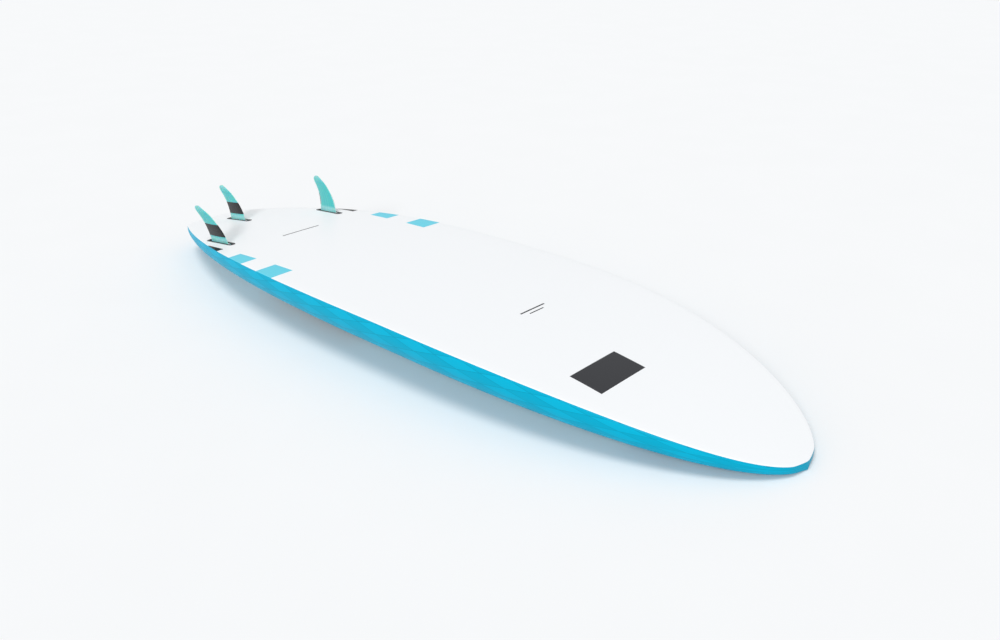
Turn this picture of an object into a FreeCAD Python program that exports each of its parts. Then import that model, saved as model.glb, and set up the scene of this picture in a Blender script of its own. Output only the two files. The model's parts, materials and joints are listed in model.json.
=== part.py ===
"""Windsurf board of 2.5 m for waves: a sandwich hull with three fins in slide boxes, a mast track, footstraps,
pads and a vent. It lies bottom up, nose towards +X and bottom towards +Z. All lengths are in millimetres."""
import FreeCAD, Part
import Sketcher
import math
import os
import re

Vector = FreeCAD.Vector
Rotation = FreeCAD.Rotation
Placement = FreeCAD.Placement

# alias, value, what it is
SIZES = [
    # hull
    ("board_length", 2500, "overall length"),
    ("board_width", 762, "width between the two bottom edges"),
    ("wide_point", 200, "widest point, forward of the middle"),
    ("nose_power", 2.2, "how long the outline stays wide towards the nose"),
    ("nose_roundness", 1.84, "how round the nose is"),
    ("tail_narrowing", 0.70, "share of the width lost at the tail"),
    ("tail_power", 3.0, "how long the outline stays wide towards the tail"),
    ("tail_corner", 75, "length of the squash tail's rounded corner"),
    ("tail_squareness", 4, "how square that corner is"),
    ("flat_point", -98, "where the bottom is level"),
    ("nose_rocker", 160, "height of the nose's bend"),
    ("nose_rocker_power", 3.0, "how late the nose bends"),
    ("tail_rocker", 90, "height of the tail's bend"),
    ("tail_rocker_power", 2.24, "how late the tail bends"),
    ("bottom_vee", 4, "crown of the bottom across its width"),
    ("board_thickness", 128, "thickness at the thickest point"),
    ("thick_point", 150, "thickest point, forward of the middle"),
    ("nose_thinning", 0.79, "share of the thickness lost at the nose"),
    ("nose_thin_power", 3.0, "how late the nose thins"),
    ("tail_thinning", 0.64, "share of the thickness lost at the tail"),
    ("tail_thin_power", 1.9, "how late the tail thins"),
    ("skin_wall", 4, "thickness of the sandwich skins"),
    # fin boxes
    ("side_box_from_tail", 430, "side boxes' middle, forward of the tail"),
    ("side_box_from_rail", 50, "side boxes' middle, in from the bottom edge"),
    ("side_box_toe", 2.3, "degrees that the side boxes point inwards"),
    ("side_box_cant", 3.5, "degrees that the side boxes lean outwards"),
    ("centre_box_from_tail", 184, "centre box's middle, forward of the tail"),
    ("box_length", 145, "lip length"),
    ("box_width", 25, "lip width"),
    ("lip_thickness", 3, "lip thickness"),
    ("lip_round", 11, "corner radius of the lip"),
    ("lip_proud", 0.8, "how far the lip stands out of the bottom"),
    ("box_side", 2.5, "how far the lip overhangs the box below it"),
    ("box_depth", 27, "depth of the box"),
    ("slot_end", 5, "solid end of the slot"),
    ("slot_width", 9.6, "slot width"),
    ("slot_depth", 22, "slot depth"),
    ("channel_width", 14.6, "width of the undercut channel"),
    ("channel_roof", 5, "depth of the channel's roof"),
    ("channel_height", 5, "channel height"),
    ("notch_length", 7, "notch that lets the cross pin into the channel"),
    ("notch_at", 8, "notch's place along the box"),
    ("block_margin", 16, "foam block beyond its box, each way"),
    # fins
    ("fin_depth", 128, "fin height above the bottom"),
    ("fin_chord", 95, "fin length at the base"),
    ("fin_back", 53, "base of the trailing edge, behind the box's middle"),
    ("fin_rear_rake", 66, "how far the trailing edge leans back"),
    ("fin_rear_power", 2.6, "how late the trailing edge leans back"),
    ("fin_front_rake", 99, "how far the leading edge leans back"),
    ("fin_front_power", 1.8, "how late the leading edge leans back"),
    ("fin_tip_start", 0.72, "share of the height where the tip starts to round"),
    ("fin_tip_back", 20, "top of the tip, behind the base of the trailing edge"),
    ("fin_lean", 3.5, "degrees that a side fin leans outwards from its tab"),
    ("fin_thickness", 9, "fin thickness at the base"),
    ("fin_thinning", 0.6, "share of the thickness lost at the tip"),
    ("fin_waist", 0.45, "share of the chord where the section's poles turn thin"),
    ("fin_belly", 1.28, "thickness of the section's poles there, as a share"),
    ("fin_edge", 1.0, "thickness of the trailing edge"),
    ("foil_root", 3, "how far the foil reaches into the slot"),
    ("tab_inset", 3, "how much the tab is shorter than the base, each end"),
    ("tab_gap", 0.3, "clearance of the tab in the slot"),
    ("ear_length", 14, "ear in front of the tab, which the fin screw holds"),
    ("ear_root", 1, "how far the ear reaches into the tab"),
    ("ear_top", 2.5, "depth of the ear's top"),
    ("ear_thickness", 2.4, "ear thickness"),
    ("cross_pin_radius", 2.2, "cross pin radius"),
    ("cross_pin_at", 38, "cross pin, behind the box's middle"),
    ("fin_plate_length", 13, "threaded plate's length"),
    ("fin_plate_thickness", 3.5, "threaded plate's thickness"),
    ("fin_screw_radius", 2, "fin screw's shank radius"),
    ("fin_screw_head_radius", 3.5, "fin screw's head radius"),
    ("fin_screw_head", 2.2, "fin screw's head height"),
    ("head_side", 0.6, "share of a pan head's height that is upright"),
    ("head_top", 0.7, "share of a pan head's radius that is flat on top"),
    ("fin_screw_length", 12, "fin screw's shank length"),
    ("hole_gap", 0.15, "clearance round a screw in a plain hole"),
    ("thread_gap", 0.05, "clearance round a screw or pin in its seat"),
    ("slide_gap", 0.3, "clearance of the plate and pin in the channel"),
    # mast track
    ("track_from_tail", 1350, "mast track's middle, forward of the tail"),
    ("track_length", 320, "lip length"),
    ("track_width", 44, "lip width"),
    ("track_lip", 2.5, "lip thickness"),
    ("track_round", 14, "corner radius of the lip"),
    ("track_side", 4, "how far the lip overhangs the box below it"),
    ("track_depth", 24, "depth of the track box"),
    ("track_slot_width", 10, "slot width"),
    ("track_channel_width", 26, "width of the channel for the mast foot's nut"),
    ("track_roof", 7, "depth of the channel's roof"),
    ("track_channel_height", 8, "channel height"),
    ("track_end", 10, "solid end of the slot"),
    ("track_entry", 30, "length of the opening that lets the nut in"),
    # footstraps
    ("front_strap_from_tail", 900, "front straps' middle, forward of the tail"),
    ("front_strap_out", 125, "front straps' middle, out from the centreline"),
    ("front_strap_turn", 30, "degrees between a front strap and the centreline"),
    ("rear_strap_from_tail", 370, "rear strap's middle, forward of the tail"),
    ("strap_span", 160, "distance between a strap's screws"),
    ("strap_rise", 68.4, "height of a front strap above the deck"),
    ("rear_strap_rise", 61, "height of the rear strap above the deck"),
    ("strap_mouth", 110, "width of the strap's opening at the deck"),
    ("strap_crown", 86, "width of the strap's opening at its top"),
    ("strap_bend", 22, "bend radius at the strap's shoulders"),
    ("heel_bend", 10, "bend radius where the webbing leaves the deck"),
    ("webbing_width", 40, "webbing width"),
    ("webbing_thickness", 3, "webbing thickness"),
    ("tab_beyond", 16, "webbing beyond the screw"),
    ("cover_width", 60, "width of the padded cover"),
    ("cover_inside", 3.5, "padding on the foot's side"),
    ("cover_outside", 4, "padding on the outside"),
    ("cover_foot", 16, "how far above the deck the cover starts"),
    ("soft_gap", 0.3, "clearance of the soft parts"),
    ("plug_length", 62, "strap plug's length"),
    ("plug_round", 7.5, "strap plug's corner radius"),
    ("plug_width", 16, "strap plug's width"),
    ("plug_depth", 30, "strap plug's depth"),
    ("strap_screw_radius", 2.6, "strap screw's shank radius"),
    ("strap_screw_head_radius", 6, "strap screw's head radius"),
    ("strap_screw_head", 3.5, "strap screw's head height"),
    ("strap_screw_length", 26, "strap screw's shank length"),
    ("strap_screw_tip", 3, "length of the strap screw's point"),
    ("plug_hole_depth", 26, "depth of the plug's hole"),
    ("washer_length", 26, "anti-twist washer's length"),
    ("washer_width", 18, "anti-twist washer's width"),
    ("washer_round", 8, "anti-twist washer's corner radius"),
    ("washer_thickness", 1.5, "anti-twist washer's thickness"),
    # pads
    ("pad_thickness", 5, "pad thickness"),
    ("pad_round", 60, "corner radius of a pad"),
    ("front_pad_out", 142, "front pads' middle, out from the centreline"),
    ("front_pad_length", 500, "front pads' length"),
    ("front_pad_width", 195, "front pads' width"),
    ("front_pad_turn", 5, "degrees that a front pad turns with the rail"),
    ("rear_pad_length", 340, "rear pad's length"),
    ("rear_pad_width", 250, "rear pad's width"),
    ("pad_window_length", 76, "opening in the pad round a strap plug"),
    ("pad_window_width", 52, "width of that opening"),
    ("pad_window_round", 8, "corner radius of that opening"),
    # vent
    ("vent_behind_track", 80, "vent, behind the mast track's rear end"),
    ("vent_flange_radius", 14, "vent body's flange radius"),
    ("vent_flange", 2.5, "vent body's flange thickness"),
    ("vent_shank_radius", 9.5, "vent body's shank radius"),
    ("vent_depth", 22, "vent body's depth"),
    ("vent_seat_radius", 7.5, "recess for the vent screw's head"),
    ("vent_head_radius", 7.2, "vent screw's head radius"),
    ("vent_head", 3, "vent screw's head height"),
    ("vent_screw_radius", 4, "vent screw's shank radius"),
    ("vent_screw_length", 15, "vent screw's shank length"),
    ("vent_coin_width", 1.8, "width of the coin slot"),
    ("vent_coin_depth", 1.6, "depth of the coin slot"),
    ("ring_radius", 1, "O-ring's section radius"),
]

STATIONS = 20          # hull sections from tail to nose
END_SHARE = 0.35       # the first section lies this share of a step inside the ideal tip
RAIL = [(1, 0), (1.02, 0.26), (1.005, 0.50), (0.94, 0.68)]            # across, down: shares of the section
DECK = [(0.94, 0.68), (0.786, 1.107), (-0.786, 1.107), (-0.94, 0.68)]
FIN_LEVELS = [0, 0.2, 0.4, 0.6, 0.75, 0.85, 0.91, 0.95, 0.98, 0.995]  # heights of the fin's sections
FAR = 60               # how far a cutting prism reaches out of the hull

doc = FreeCAD.newDocument("windsurf_board")
sheet = doc.addObject("Spreadsheet::Sheet", "sizes")
for row, (alias, value, meaning) in enumerate(SIZES, start=1):
    sheet.set(f"A{row}", meaning)
    sheet.set(f"B{row}", str(value))
    sheet.setAlias(f"B{row}", alias)
doc.recompute()

ALIASES = {alias for alias, _, _ in SIZES}
nodes = {}


def size(alias):
    """The value of one cell."""
    return float(sheet.get(alias))


def bound(expression):
    """The expression with each alias pointing at the sheet."""
    return re.sub(r"[a-z_]+", lambda m: "sizes." + m.group() if m.group() in ALIASES else m.group(), expression)


def value_of(expression):
    """The number that an expression of aliases stands for."""
    return float(sheet.evalExpression(expression))


# ---------------------------------------------------------------- drawing helpers
def new_body(label, placement):
    """A PartDesign body that becomes one node."""
    body = doc.addObject("PartDesign::Body", label)
    body.Label = label
    body.Placement = placement
    nodes[label] = body
    return body


def origin_plane(body, role):
    """One of the body's own origin planes."""
    return next(o for o in body.Origin.OriginFeatures if o.Role == role)


def profile(body, name, role, points, level=None):
    """A closed polygon sketch whose corners are expressions of the sheet's aliases."""
    sketch = body.newObject("Sketcher::SketchObject", name)
    sketch.AttachmentSupport = [(origin_plane(body, role), "")]
    sketch.MapMode = "FlatFace"
    corners = [Vector(value_of(a), value_of(b), 0) for a, b in points]
    for start, end in zip(corners, corners[1:] + corners[:1]):
        sketch.addGeometry(Part.LineSegment(start, end), False)
    for i in range(len(points)):
        sketch.addConstraint(Sketcher.Constraint("Coincident", i, 2, (i + 1) % len(points), 1))
    for i, (across, along) in enumerate(points):
        for kind, expression, value in (("DistanceX", across, corners[i].x),
                                        ("DistanceY", along, corners[i].y)):
            index = sketch.addConstraint(Sketcher.Constraint(kind, -1, 1, i, 1, value))
            sketch.setExpression(f"Constraints[{index}]", bound(expression))
    if level:
        sketch.setExpression("AttachmentOffset.Base.z", bound(level))
    return sketch


def block_outline(length, width, at="0"):
    """The corners of a rectangle centred on the local X axis."""
    return [(f"{at} - ({length}) / 2", f"-({width}) / 2"), (f"{at} + ({length}) / 2", f"-({width}) / 2"),
            (f"{at} + ({length}) / 2", f"({width}) / 2"), (f"{at} - ({length}) / 2", f"({width}) / 2")]


def grow(body, kind, name, sketch, depth, down=True):
    """A pad, or a pocket, of the sketch: down from it, or up."""
    feature = body.newObject(f"PartDesign::{kind}", name)
    feature.Profile = sketch
    feature.setExpression("Length", bound(depth))
    feature.Reversed = down if kind == "Pad" else not down
    doc.recompute()
    return feature


def round_corners(body, name, feature, radius, length, width):
    """Fillet the upright corner edges of a rectangle of this length and width."""
    corner = Vector(value_of(length) / 2, value_of(width) / 2, 0)
    edges = []
    for i, edge in enumerate(feature.Shape.Edges, start=1):
        ends = [v.Point for v in edge.Vertexes]
        upright = len(ends) == 2 and abs(ends[0].x - ends[1].x) + abs(ends[0].y - ends[1].y) < 1e-6
        if upright and abs(abs(ends[0].y) - corner.y) < 1e-6 and abs(abs(ends[0].x) - corner.x) < 1e-6:
            edges.append(f"Edge{i}")
    fillet = body.newObject("PartDesign::Fillet", name)
    fillet.Base = (feature, edges)
    fillet.setExpression("Radius", bound(radius))
    doc.recompute()
    return fillet


def turned(body, name, points):
    """A revolution about the local Z axis."""
    feature = body.newObject("PartDesign::Revolution", name)
    sketch = profile(body, name + "_profile", "XZ_Plane", points)
    feature.Profile = sketch
    feature.ReferenceAxis = (sketch, ["V_Axis"])
    feature.Angle = 360
    doc.recompute()
    return feature


def round_hole(body, name, radius, depth, at="0"):
    """A pocket of a circle on the local X axis, down from the top plane of the body."""
    sketch = body.newObject("Sketcher::SketchObject", name + "_circle")
    sketch.AttachmentSupport = [(origin_plane(body, "XY_Plane"), "")]
    sketch.MapMode = "FlatFace"
    sketch.addGeometry(Part.Circle(Vector(value_of(at), 0, 0), Vector(0, 0, 1), value_of(radius)), False)
    place = sketch.addConstraint(Sketcher.Constraint("DistanceX", -1, 1, 0, 3, value_of(at)))
    sketch.setExpression(f"Constraints[{place}]", bound(at))
    sketch.addConstraint(Sketcher.Constraint("PointOnObject", 0, 3, -1))
    width = sketch.addConstraint(Sketcher.Constraint("Radius", 0, value_of(radius)))
    sketch.setExpression(f"Constraints[{width}]", bound(radius))
    return grow(body, "Pocket", name, sketch, depth)


def keep(label, shape, placement=None):
    """A node whose shape is set by code."""
    feature = doc.addObject("Part::Feature", label)
    feature.Label = label
    feature.Shape = shape
    if placement:
        feature.Placement = placement
    nodes[label] = feature
    return feature


def prism(length, width, low, high, corner, placement):
    """A placed upright prism with rounded corners, used to cut pockets."""
    solid = Part.makeBox(length, width, high - low, Vector(-length / 2, -width / 2, low))
    upright = [e for e in solid.Edges if abs(e.Vertexes[0].Z - e.Vertexes[-1].Z) > 1e-6]
    solid = solid.makeFillet(corner, upright)
    solid.Placement = placement
    return solid


# ---------------------------------------------------------------- hull
def half_width(x):
    """Half the outline's width at x."""
    reach = ideal_half_length()
    half = size("board_width") / 2
    wide = size("wide_point")
    if x >= wide:
        share = (x - wide) / (reach - wide)
        return half * (1 - share ** size("nose_power")) ** (1 / size("nose_roundness"))
    share = (wide - x) / (reach + wide)
    width = half * (1 - size("tail_narrowing") * share ** size("tail_power"))
    corner = max(0, (size("tail_corner") - reach - x) / size("tail_corner"))
    return width * (1 - corner ** size("tail_squareness")) ** (1 / size("tail_squareness"))


def bottom_height(x):
    """The bottom's height on the centreline at x."""
    flat = size("flat_point")
    if x >= flat:
        share = (x - flat) / (size("board_length") / 2 - flat)
        return -size("nose_rocker") * share ** size("nose_rocker_power")
    share = (flat - x) / (size("board_length") / 2 + flat)
    return -size("tail_rocker") * share ** size("tail_rocker_power")


def thickness(x):
    """The board's thickness on the centreline at x."""
    thick = size("thick_point")
    if x >= thick:
        share = (x - thick) / (size("board_length") / 2 - thick)
        return size("board_thickness") * (1 - size("nose_thinning") * share ** size("nose_thin_power"))
    share = (thick - x) / (size("board_length") / 2 + thick)
    return size("board_thickness") * (1 - size("tail_thinning") * share ** size("tail_thin_power"))


def station_angles():
    """Angles whose cosines place the sections: close together at the ends, where the outline turns fast."""
    step = math.pi / (STATIONS - 1 + 2 * END_SHARE)
    return [(i + END_SHARE) * step for i in range(STATIONS)]


def ideal_half_length():
    """Half the length that the outline would have if its tips weren't cut square by the end sections."""
    return size("board_length") / 2 / math.cos(station_angles()[0])


def section(x, inset):
    """The poles of one section's four curves: bottom, right rail, deck, left rail."""
    half = half_width(x) - inset
    depth = thickness(x) - 2 * inset
    crown = size("bottom_vee") * half / (size("board_width") / 2)
    edge = bottom_height(x) - inset - crown
    along = x * (1 - 2 * inset / size("board_length"))

    def pole(across, down):
        return Vector(along, across * half, edge - (depth - crown) * down)

    bottom = [pole(-1, 0), Vector(along, 0, edge + 2 * crown), pole(1, 0)]
    right = [pole(*p) for p in RAIL]
    deck = [pole(*p) for p in DECK]
    left = [pole(-across, down) for across, down in reversed(RAIL)]
    return [bottom, right, deck, left]


def skinned(rows, angles):
    """A smooth face through rows of poles, one row for each section."""
    degree = len(rows[0]) - 1
    columns = []
    for column in range(degree + 1):
        curve = Part.BSplineCurve()
        curve.interpolate(Points=[r[column] for r in rows], Parameters=angles)
        columns.append(curve)
    poles = [list(row) for row in zip(*[c.getPoles() for c in columns])]
    surface = Part.BSplineSurface()
    surface.buildFromPolesMultsKnots(poles, columns[0].getMultiplicities(), [degree + 1] * 2,
                                     columns[0].getKnots(), [0, 1], False, False, columns[0].Degree, degree)
    return surface.toShape()


def bezier(poles):
    """One Bezier edge."""
    curve = Part.BezierCurve()
    curve.setPoles(poles)
    return curve.toShape()


def solid_of(faces):
    """The solid that these faces close."""
    shell = Part.makeShell(faces)
    shell.sewShape()
    solid = Part.makeSolid(shell.Shells[0])
    if solid.Volume < 0:
        solid.reverse()
    return solid


def hull_shapes():
    """The outer hull, core, bottom skin and deck skin; the skins meet in a mitre at the bottom edge."""
    angles = station_angles()
    places = [-ideal_half_length() * math.cos(a) for a in angles]
    layers = [[section(x, inset) for x in places] for inset in (0, size("skin_wall"))]
    (bottom, *sides), (core_bottom, *core_sides) = [
        [skinned([s[k] for s in layer], angles) for k in range(4)] for layer in layers]
    caps, core_caps = [[Part.Face(Part.Wire([bezier(c) for c in end])) for end in (layer[0], layer[-1])]
                       for layer in layers]
    mitre = [skinned([[a[0][k], b[0][k]] for a, b in zip(*layers)], angles) for k in (0, 2)]
    mitre += [Part.makeRuledSurface(bezier(layers[0][k][0]), bezier(layers[1][k][0])) for k in (0, -1)]
    return {"outer": solid_of([bottom] + sides + caps),
            "core": solid_of([core_bottom] + core_sides + core_caps),
            "bottom_skin": solid_of([bottom, core_bottom] + mitre),
            "deck_skin": solid_of(sides + caps + core_sides + core_caps + mitre),
            "deck_face": sides[1]}


def surface_height(outer, x, y, side):
    """Height of the hull's bottom (side 1) or deck (side -1) over the point x, y."""
    reach = size("board_length")
    cut = Part.makeLine(Vector(x, y, -reach), Vector(x, y, reach)).common(outer)
    heights = [v.Z for v in cut.Vertexes]
    return max(heights) if side > 0 else min(heights)


def seat(outer, x, y, side, heading=0, reach=10):
    """A frame on the hull: local Z out of the surface, local X along the heading in degrees.
    Its origin lies level with the points at this reach before and behind it."""
    turn = math.radians(heading)
    ahead = Vector(math.cos(turn), math.sin(turn), 0)
    aside = Vector(-ahead.y, ahead.x, 0)

    def spot(direction, distance):
        point = Vector(x, y, 0) + direction * distance
        return Vector(point.x, point.y, surface_height(outer, point.x, point.y, side))

    front, back = spot(ahead, reach), spot(ahead, -reach)
    right, left = spot(aside, 10), spot(aside, -10)
    along = (front - back).normalize()
    out = along.cross(right - left).normalize() * side
    return Placement((front + back) * 0.5, Rotation(along, out.cross(along), out, "ZXY"))


def from_tail(alias):
    """The place along the board of what is set out from its tail."""
    return size(alias) - size("board_length") / 2


# ---------------------------------------------------------------- fins and their boxes
def lip_level(cant):
    """From the bottom to the top of a box's lip, leaning by this many degrees."""
    return Placement(Vector(0, 0, size("lip_proud")), Rotation(Vector(1, 0, 0), cant))


def fin_box(label, placement):
    """A slide box: a lip, a slot for the fin's tab and an undercut channel for the pin and plate."""
    body = new_body(label, placement)
    lip = grow(body, "Pad", "lip", profile(body, "lip_outline", "XY_Plane",
               block_outline("box_length", "box_width")), "lip_thickness")
    round_corners(body, "lip_corners", lip, "lip_round", "box_length", "box_width")
    shell = grow(body, "Pad", "shell", profile(body, "shell_outline", "XY_Plane",
                 block_outline("box_length - 2 * box_side", "box_width - 2 * box_side")), "box_depth")
    envelope = shell.Shape.copy()
    slot = "box_length - 2 * slot_end"
    grow(body, "Pocket", "slot", profile(body, "slot_outline", "XY_Plane",
         block_outline(slot, "slot_width")), "slot_depth")
    grow(body, "Pocket", "channel", profile(body, "channel_outline", "XY_Plane",
         block_outline(slot, "channel_width"), "-channel_roof"), "channel_height")
    grow(body, "Pocket", "notch", profile(body, "notch_outline", "XY_Plane",
         block_outline("notch_length", "channel_width", "notch_at")), "channel_roof")
    envelope.Placement = placement
    return envelope


def fin_section(level, lean):
    """The poles of a leaning fin's section at a share of its height: one side, other side, trailing edge."""
    height = level * size("fin_depth")
    middle = height * math.tan(math.radians(lean))
    trailing = -size("fin_back") - size("fin_rear_rake") * level ** size("fin_rear_power")
    leading = size("fin_chord") - size("fin_back") - size("fin_front_rake") * level ** size("fin_front_power")
    top = -size("fin_back") - size("fin_tip_back")
    into_tip = max(0, (level - size("fin_tip_start")) / (1 - size("fin_tip_start")))
    closing = 1 - math.sqrt(1 - into_tip ** 2)
    trailing += (top - trailing) * closing
    leading += (top - leading) * closing
    chord = leading - trailing
    thick = (size("fin_thickness") / 2) * (1 - size("fin_thinning") * level)
    edge = size("fin_edge") / 2

    def side(sign):
        poles = [(leading, 0), (leading, thick), (trailing + size("fin_waist") * chord, size("fin_belly") * thick),
                 (trailing, edge)]
        return [Vector(x, middle + sign * y, height) for x, y in poles]

    return side(1), side(-1), [side(1)[-1], side(-1)[-1]]


def fin_shape(lean):
    """The foil, its tab in the slot and the ear under the screw."""
    sections = [fin_section(level, lean) for level in FIN_LEVELS]
    root = Vector(0, 0, size("foil_root"))
    sections[0] = [[p - root for p in curve] for curve in sections[0]]
    levels = [0]
    for below, above in zip(sections, sections[1:]):
        levels.append(levels[-1] + (above[0][0] - below[0][0]).Length)
    faces = [skinned([s[k] for s in sections], levels) for k in range(3)]
    for one, other, edge in (sections[0], sections[-1]):
        faces.append(Part.Face(Part.Wire([bezier(one), bezier(edge), bezier(other)])))
    foil = solid_of(faces)
    back = -size("fin_back") + size("tab_inset")
    front = -size("fin_back") + size("fin_chord") - size("tab_inset")
    depth = size("slot_depth") - size("tab_gap")
    width = size("slot_width") - 2 * size("tab_gap")
    tab = Part.makeBox(front - back, width, depth - size("foil_root") / 2, Vector(back, -width / 2, -depth))
    ear = Part.makeBox(size("ear_length") + size("ear_root"), width, size("ear_thickness"),
                       Vector(front - size("ear_root"), -width / 2, -size("ear_top") - size("ear_thickness")))
    hole = Part.makeCylinder(size("cross_pin_radius") + size("thread_gap"), 2 * width,
                             Vector(-size("cross_pin_at"), -width, pin_height()), Vector(0, 1, 0))
    screw_hole = Part.makeCylinder(size("fin_screw_radius") + size("hole_gap"), depth,
                                   Vector(ear_middle(), 0, -depth))
    return foil.fuse([tab, ear]).removeSplitter().cut([hole, screw_hole])


def pin_height():
    """Height of the cross pin's axis, in the middle of the channel."""
    return -size("channel_roof") - size("channel_height") / 2


def ear_middle():
    """Where the fin screw stands, along the box."""
    return -size("fin_back") + size("fin_chord") - size("tab_inset") + size("ear_length") / 2


def cross_pin(label, placement):
    """The pin across the tab, whose ends run in the channel."""
    length = "(channel_width - 2 * slide_gap)"
    frame = Placement(Vector(-size("cross_pin_at"), 0, pin_height()), Rotation(Vector(1, 0, 0), 90))
    body = new_body(label, placement * frame)
    turned(body, "pin", [("0", f"-{length} / 2"), ("cross_pin_radius", f"-{length} / 2"),
                         ("cross_pin_radius", f"{length} / 2"), ("0", f"{length} / 2")])


def fin_plate(label, placement):
    """The threaded plate in the channel under the ear."""
    frame = Placement(Vector(ear_middle(), 0, -size("channel_roof") - size("slide_gap")), Rotation())
    body = new_body(label, placement * frame)
    grow(body, "Pad", "plate", profile(body, "outline", "XY_Plane",
         block_outline("fin_plate_length", "channel_width - 2 * slide_gap")), "fin_plate_thickness")
    round_hole(body, "thread", "fin_screw_radius + thread_gap", "fin_plate_thickness")


def fin_screw(label, placement):
    """The pan head screw that clamps the ear to the plate."""
    body = new_body(label, placement * Placement(Vector(ear_middle(), 0, -size("ear_top")), Rotation()))
    turned(body, "screw", [("0", "-fin_screw_length"), ("fin_screw_radius", "-fin_screw_length"),
                           ("fin_screw_radius", "0"), ("fin_screw_head_radius", "0"),
                           ("fin_screw_head_radius", "head_side * fin_screw_head"),
                           ("head_top * fin_screw_head_radius", "fin_screw_head"), ("0", "fin_screw_head")])


# ---------------------------------------------------------------- deck fittings
def mast_track(label, placement):
    """The T-slot box in the deck that holds the mast foot."""
    body = new_body(label, placement)
    lip = grow(body, "Pad", "lip", profile(body, "lip_outline", "XY_Plane",
               block_outline("track_length", "track_width")), "track_lip")
    round_corners(body, "lip_corners", lip, "track_round", "track_length", "track_width")
    shell = grow(body, "Pad", "shell", profile(body, "shell_outline", "XY_Plane",
                 block_outline("track_length - 2 * track_side", "track_width - 2 * track_side")), "track_depth")
    envelope = shell.Shape.copy()
    inner = "track_length - 2 * track_side - 2 * track_end"
    grow(body, "Pocket", "slot", profile(body, "slot_outline", "XY_Plane",
         block_outline(inner, "track_slot_width")), "track_roof + track_channel_height")
    grow(body, "Pocket", "channel", profile(body, "channel_outline", "XY_Plane",
         block_outline(inner, "track_channel_width"), "-track_roof"), "track_channel_height")
    grow(body, "Pocket", "entry", profile(body, "entry_outline", "XY_Plane",
         block_outline("track_entry", "track_channel_width", f"({inner} - track_entry) / 2")), "track_roof")
    envelope.Placement = placement
    return envelope.fuse(prism(size("track_length"), size("track_width"), -size("track_lip"), FAR,
                               size("track_round"), placement))


def strap_screw(label, placement):
    """A pan head screw, drawn with its head's seat at the origin."""
    body = new_body(label, placement)
    turned(body, "screw", [("0", "-strap_screw_length"),
                           ("strap_screw_radius", "strap_screw_tip - strap_screw_length"),
                           ("strap_screw_radius", "0"), ("strap_screw_head_radius", "0"),
                           ("strap_screw_head_radius", "head_side * strap_screw_head"),
                           ("head_top * strap_screw_head_radius", "strap_screw_head"),
                           ("0", "strap_screw_head")])
    return body


def strap_washer(label, placement):
    """The oblong washer that stops the strap from twisting."""
    body = new_body(label, placement)
    plate = grow(body, "Pad", "plate", profile(body, "outline", "XY_Plane",
                 block_outline("washer_length", "washer_width")), "washer_thickness", down=False)
    round_corners(body, "corners", plate, "washer_round", "washer_length", "washer_width")
    hole = Part.makeCylinder(size("strap_screw_radius") + size("hole_gap"), 2 * FAR, Vector(0, 0, -FAR))
    return body.Shape.cut(hole)


def gather(label, body_maker, places):
    """One node of identical loose pieces, copied from one drawn piece."""
    pattern = body_maker(label + "_pattern", Placement())
    nodes.pop(label + "_pattern")
    shape = pattern if isinstance(pattern, Part.Shape) else pattern.Shape
    copies = []
    for place in places:
        copy = shape.copy()
        copy.Placement = place
        copies.append(copy)
    return keep(label, Part.makeCompound(copies))


def bent_path(points, radii):
    """A wire of straight runs joined by tangent arcs, in the local XZ plane."""
    spots = [Vector(a, 0, b) for a, b in points]
    edges = []
    start = spots[0]
    for before, corner, after, radius in zip(spots, spots[1:], spots[2:], radii):
        arriving = (corner - before).normalize()
        leaving = (after - corner).normalize()
        turn = arriving.getAngle(leaving)
        cut = radius * math.tan(turn / 2)
        first = corner - arriving * cut
        last = corner + leaving * cut
        inward = (leaving - arriving).normalize()
        middle = corner + inward * (radius / math.cos(turn / 2) - radius)
        edges += [Part.makeLine(start, first), Part.Arc(first, middle, last).toShape()]
        start = last
    edges.append(Part.makeLine(start, spots[-1]))
    return Part.Wire(edges)


def band(points, radii, low, high, width):
    """A bent strip: the path's lower face moved out by low, its upper face by high."""
    def moved(distance):
        """The path shifted sideways: its runs move along their normals and its arcs keep their centres."""
        spots = [Vector(a, 0, b) for a, b in points]
        runs = list(zip(spots, spots[1:]))
        normals = [Vector(-(b - a).z, 0, (b - a).x).normalize() for a, b in runs]
        out = [spots[0] + normals[0] * distance]
        for corner, one, two in zip(spots[1:], normals, normals[1:]):
            out.append(corner + (one + two) * (distance / (1 + one.dot(two))))
        out.append(spots[-1] + normals[-1] * distance)
        bends = []
        for one, two, radius in zip(normals, normals[1:], radii):
            outward = one.cross(two).y > 0
            bends.append(radius + distance if outward else radius - distance)
        return bent_path([(p.x, p.z) for p in out], bends)

    lower, upper = moved(low), moved(high)
    closing = [Part.makeLine(lower.Edges[0].Vertexes[0].Point, upper.Edges[0].Vertexes[0].Point),
               Part.makeLine(lower.Edges[-1].Vertexes[-1].Point, upper.Edges[-1].Vertexes[-1].Point)]
    edges = Part.__sortEdges__(lower.Edges + upper.Edges + closing)
    face = Part.Face(Part.Wire(edges))
    solid = face.extrude(Vector(0, width, 0))
    solid.translate(Vector(0, -width / 2, 0))
    return solid


def strap_path(rise, start_height):
    """Corners of the webbing's lower face: along the deck, up one side, over the foot and down."""
    rest = size("soft_gap")
    top = rise - size("cover_outside") - size("soft_gap") - size("webbing_thickness")
    mouth, crown = size("strap_mouth") / 2, size("strap_crown") / 2
    if start_height is None:
        end = size("strap_span") / 2 + size("tab_beyond")
        return [(-end, rest), (-mouth, rest), (-crown, top), (crown, top), (mouth, rest), (end, rest)]
    share = (start_height - rest) / (top - rest)
    foot = mouth + (crown - mouth) * share
    return [(-foot, start_height), (-crown, top), (crown, top), (foot, start_height)]


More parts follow.
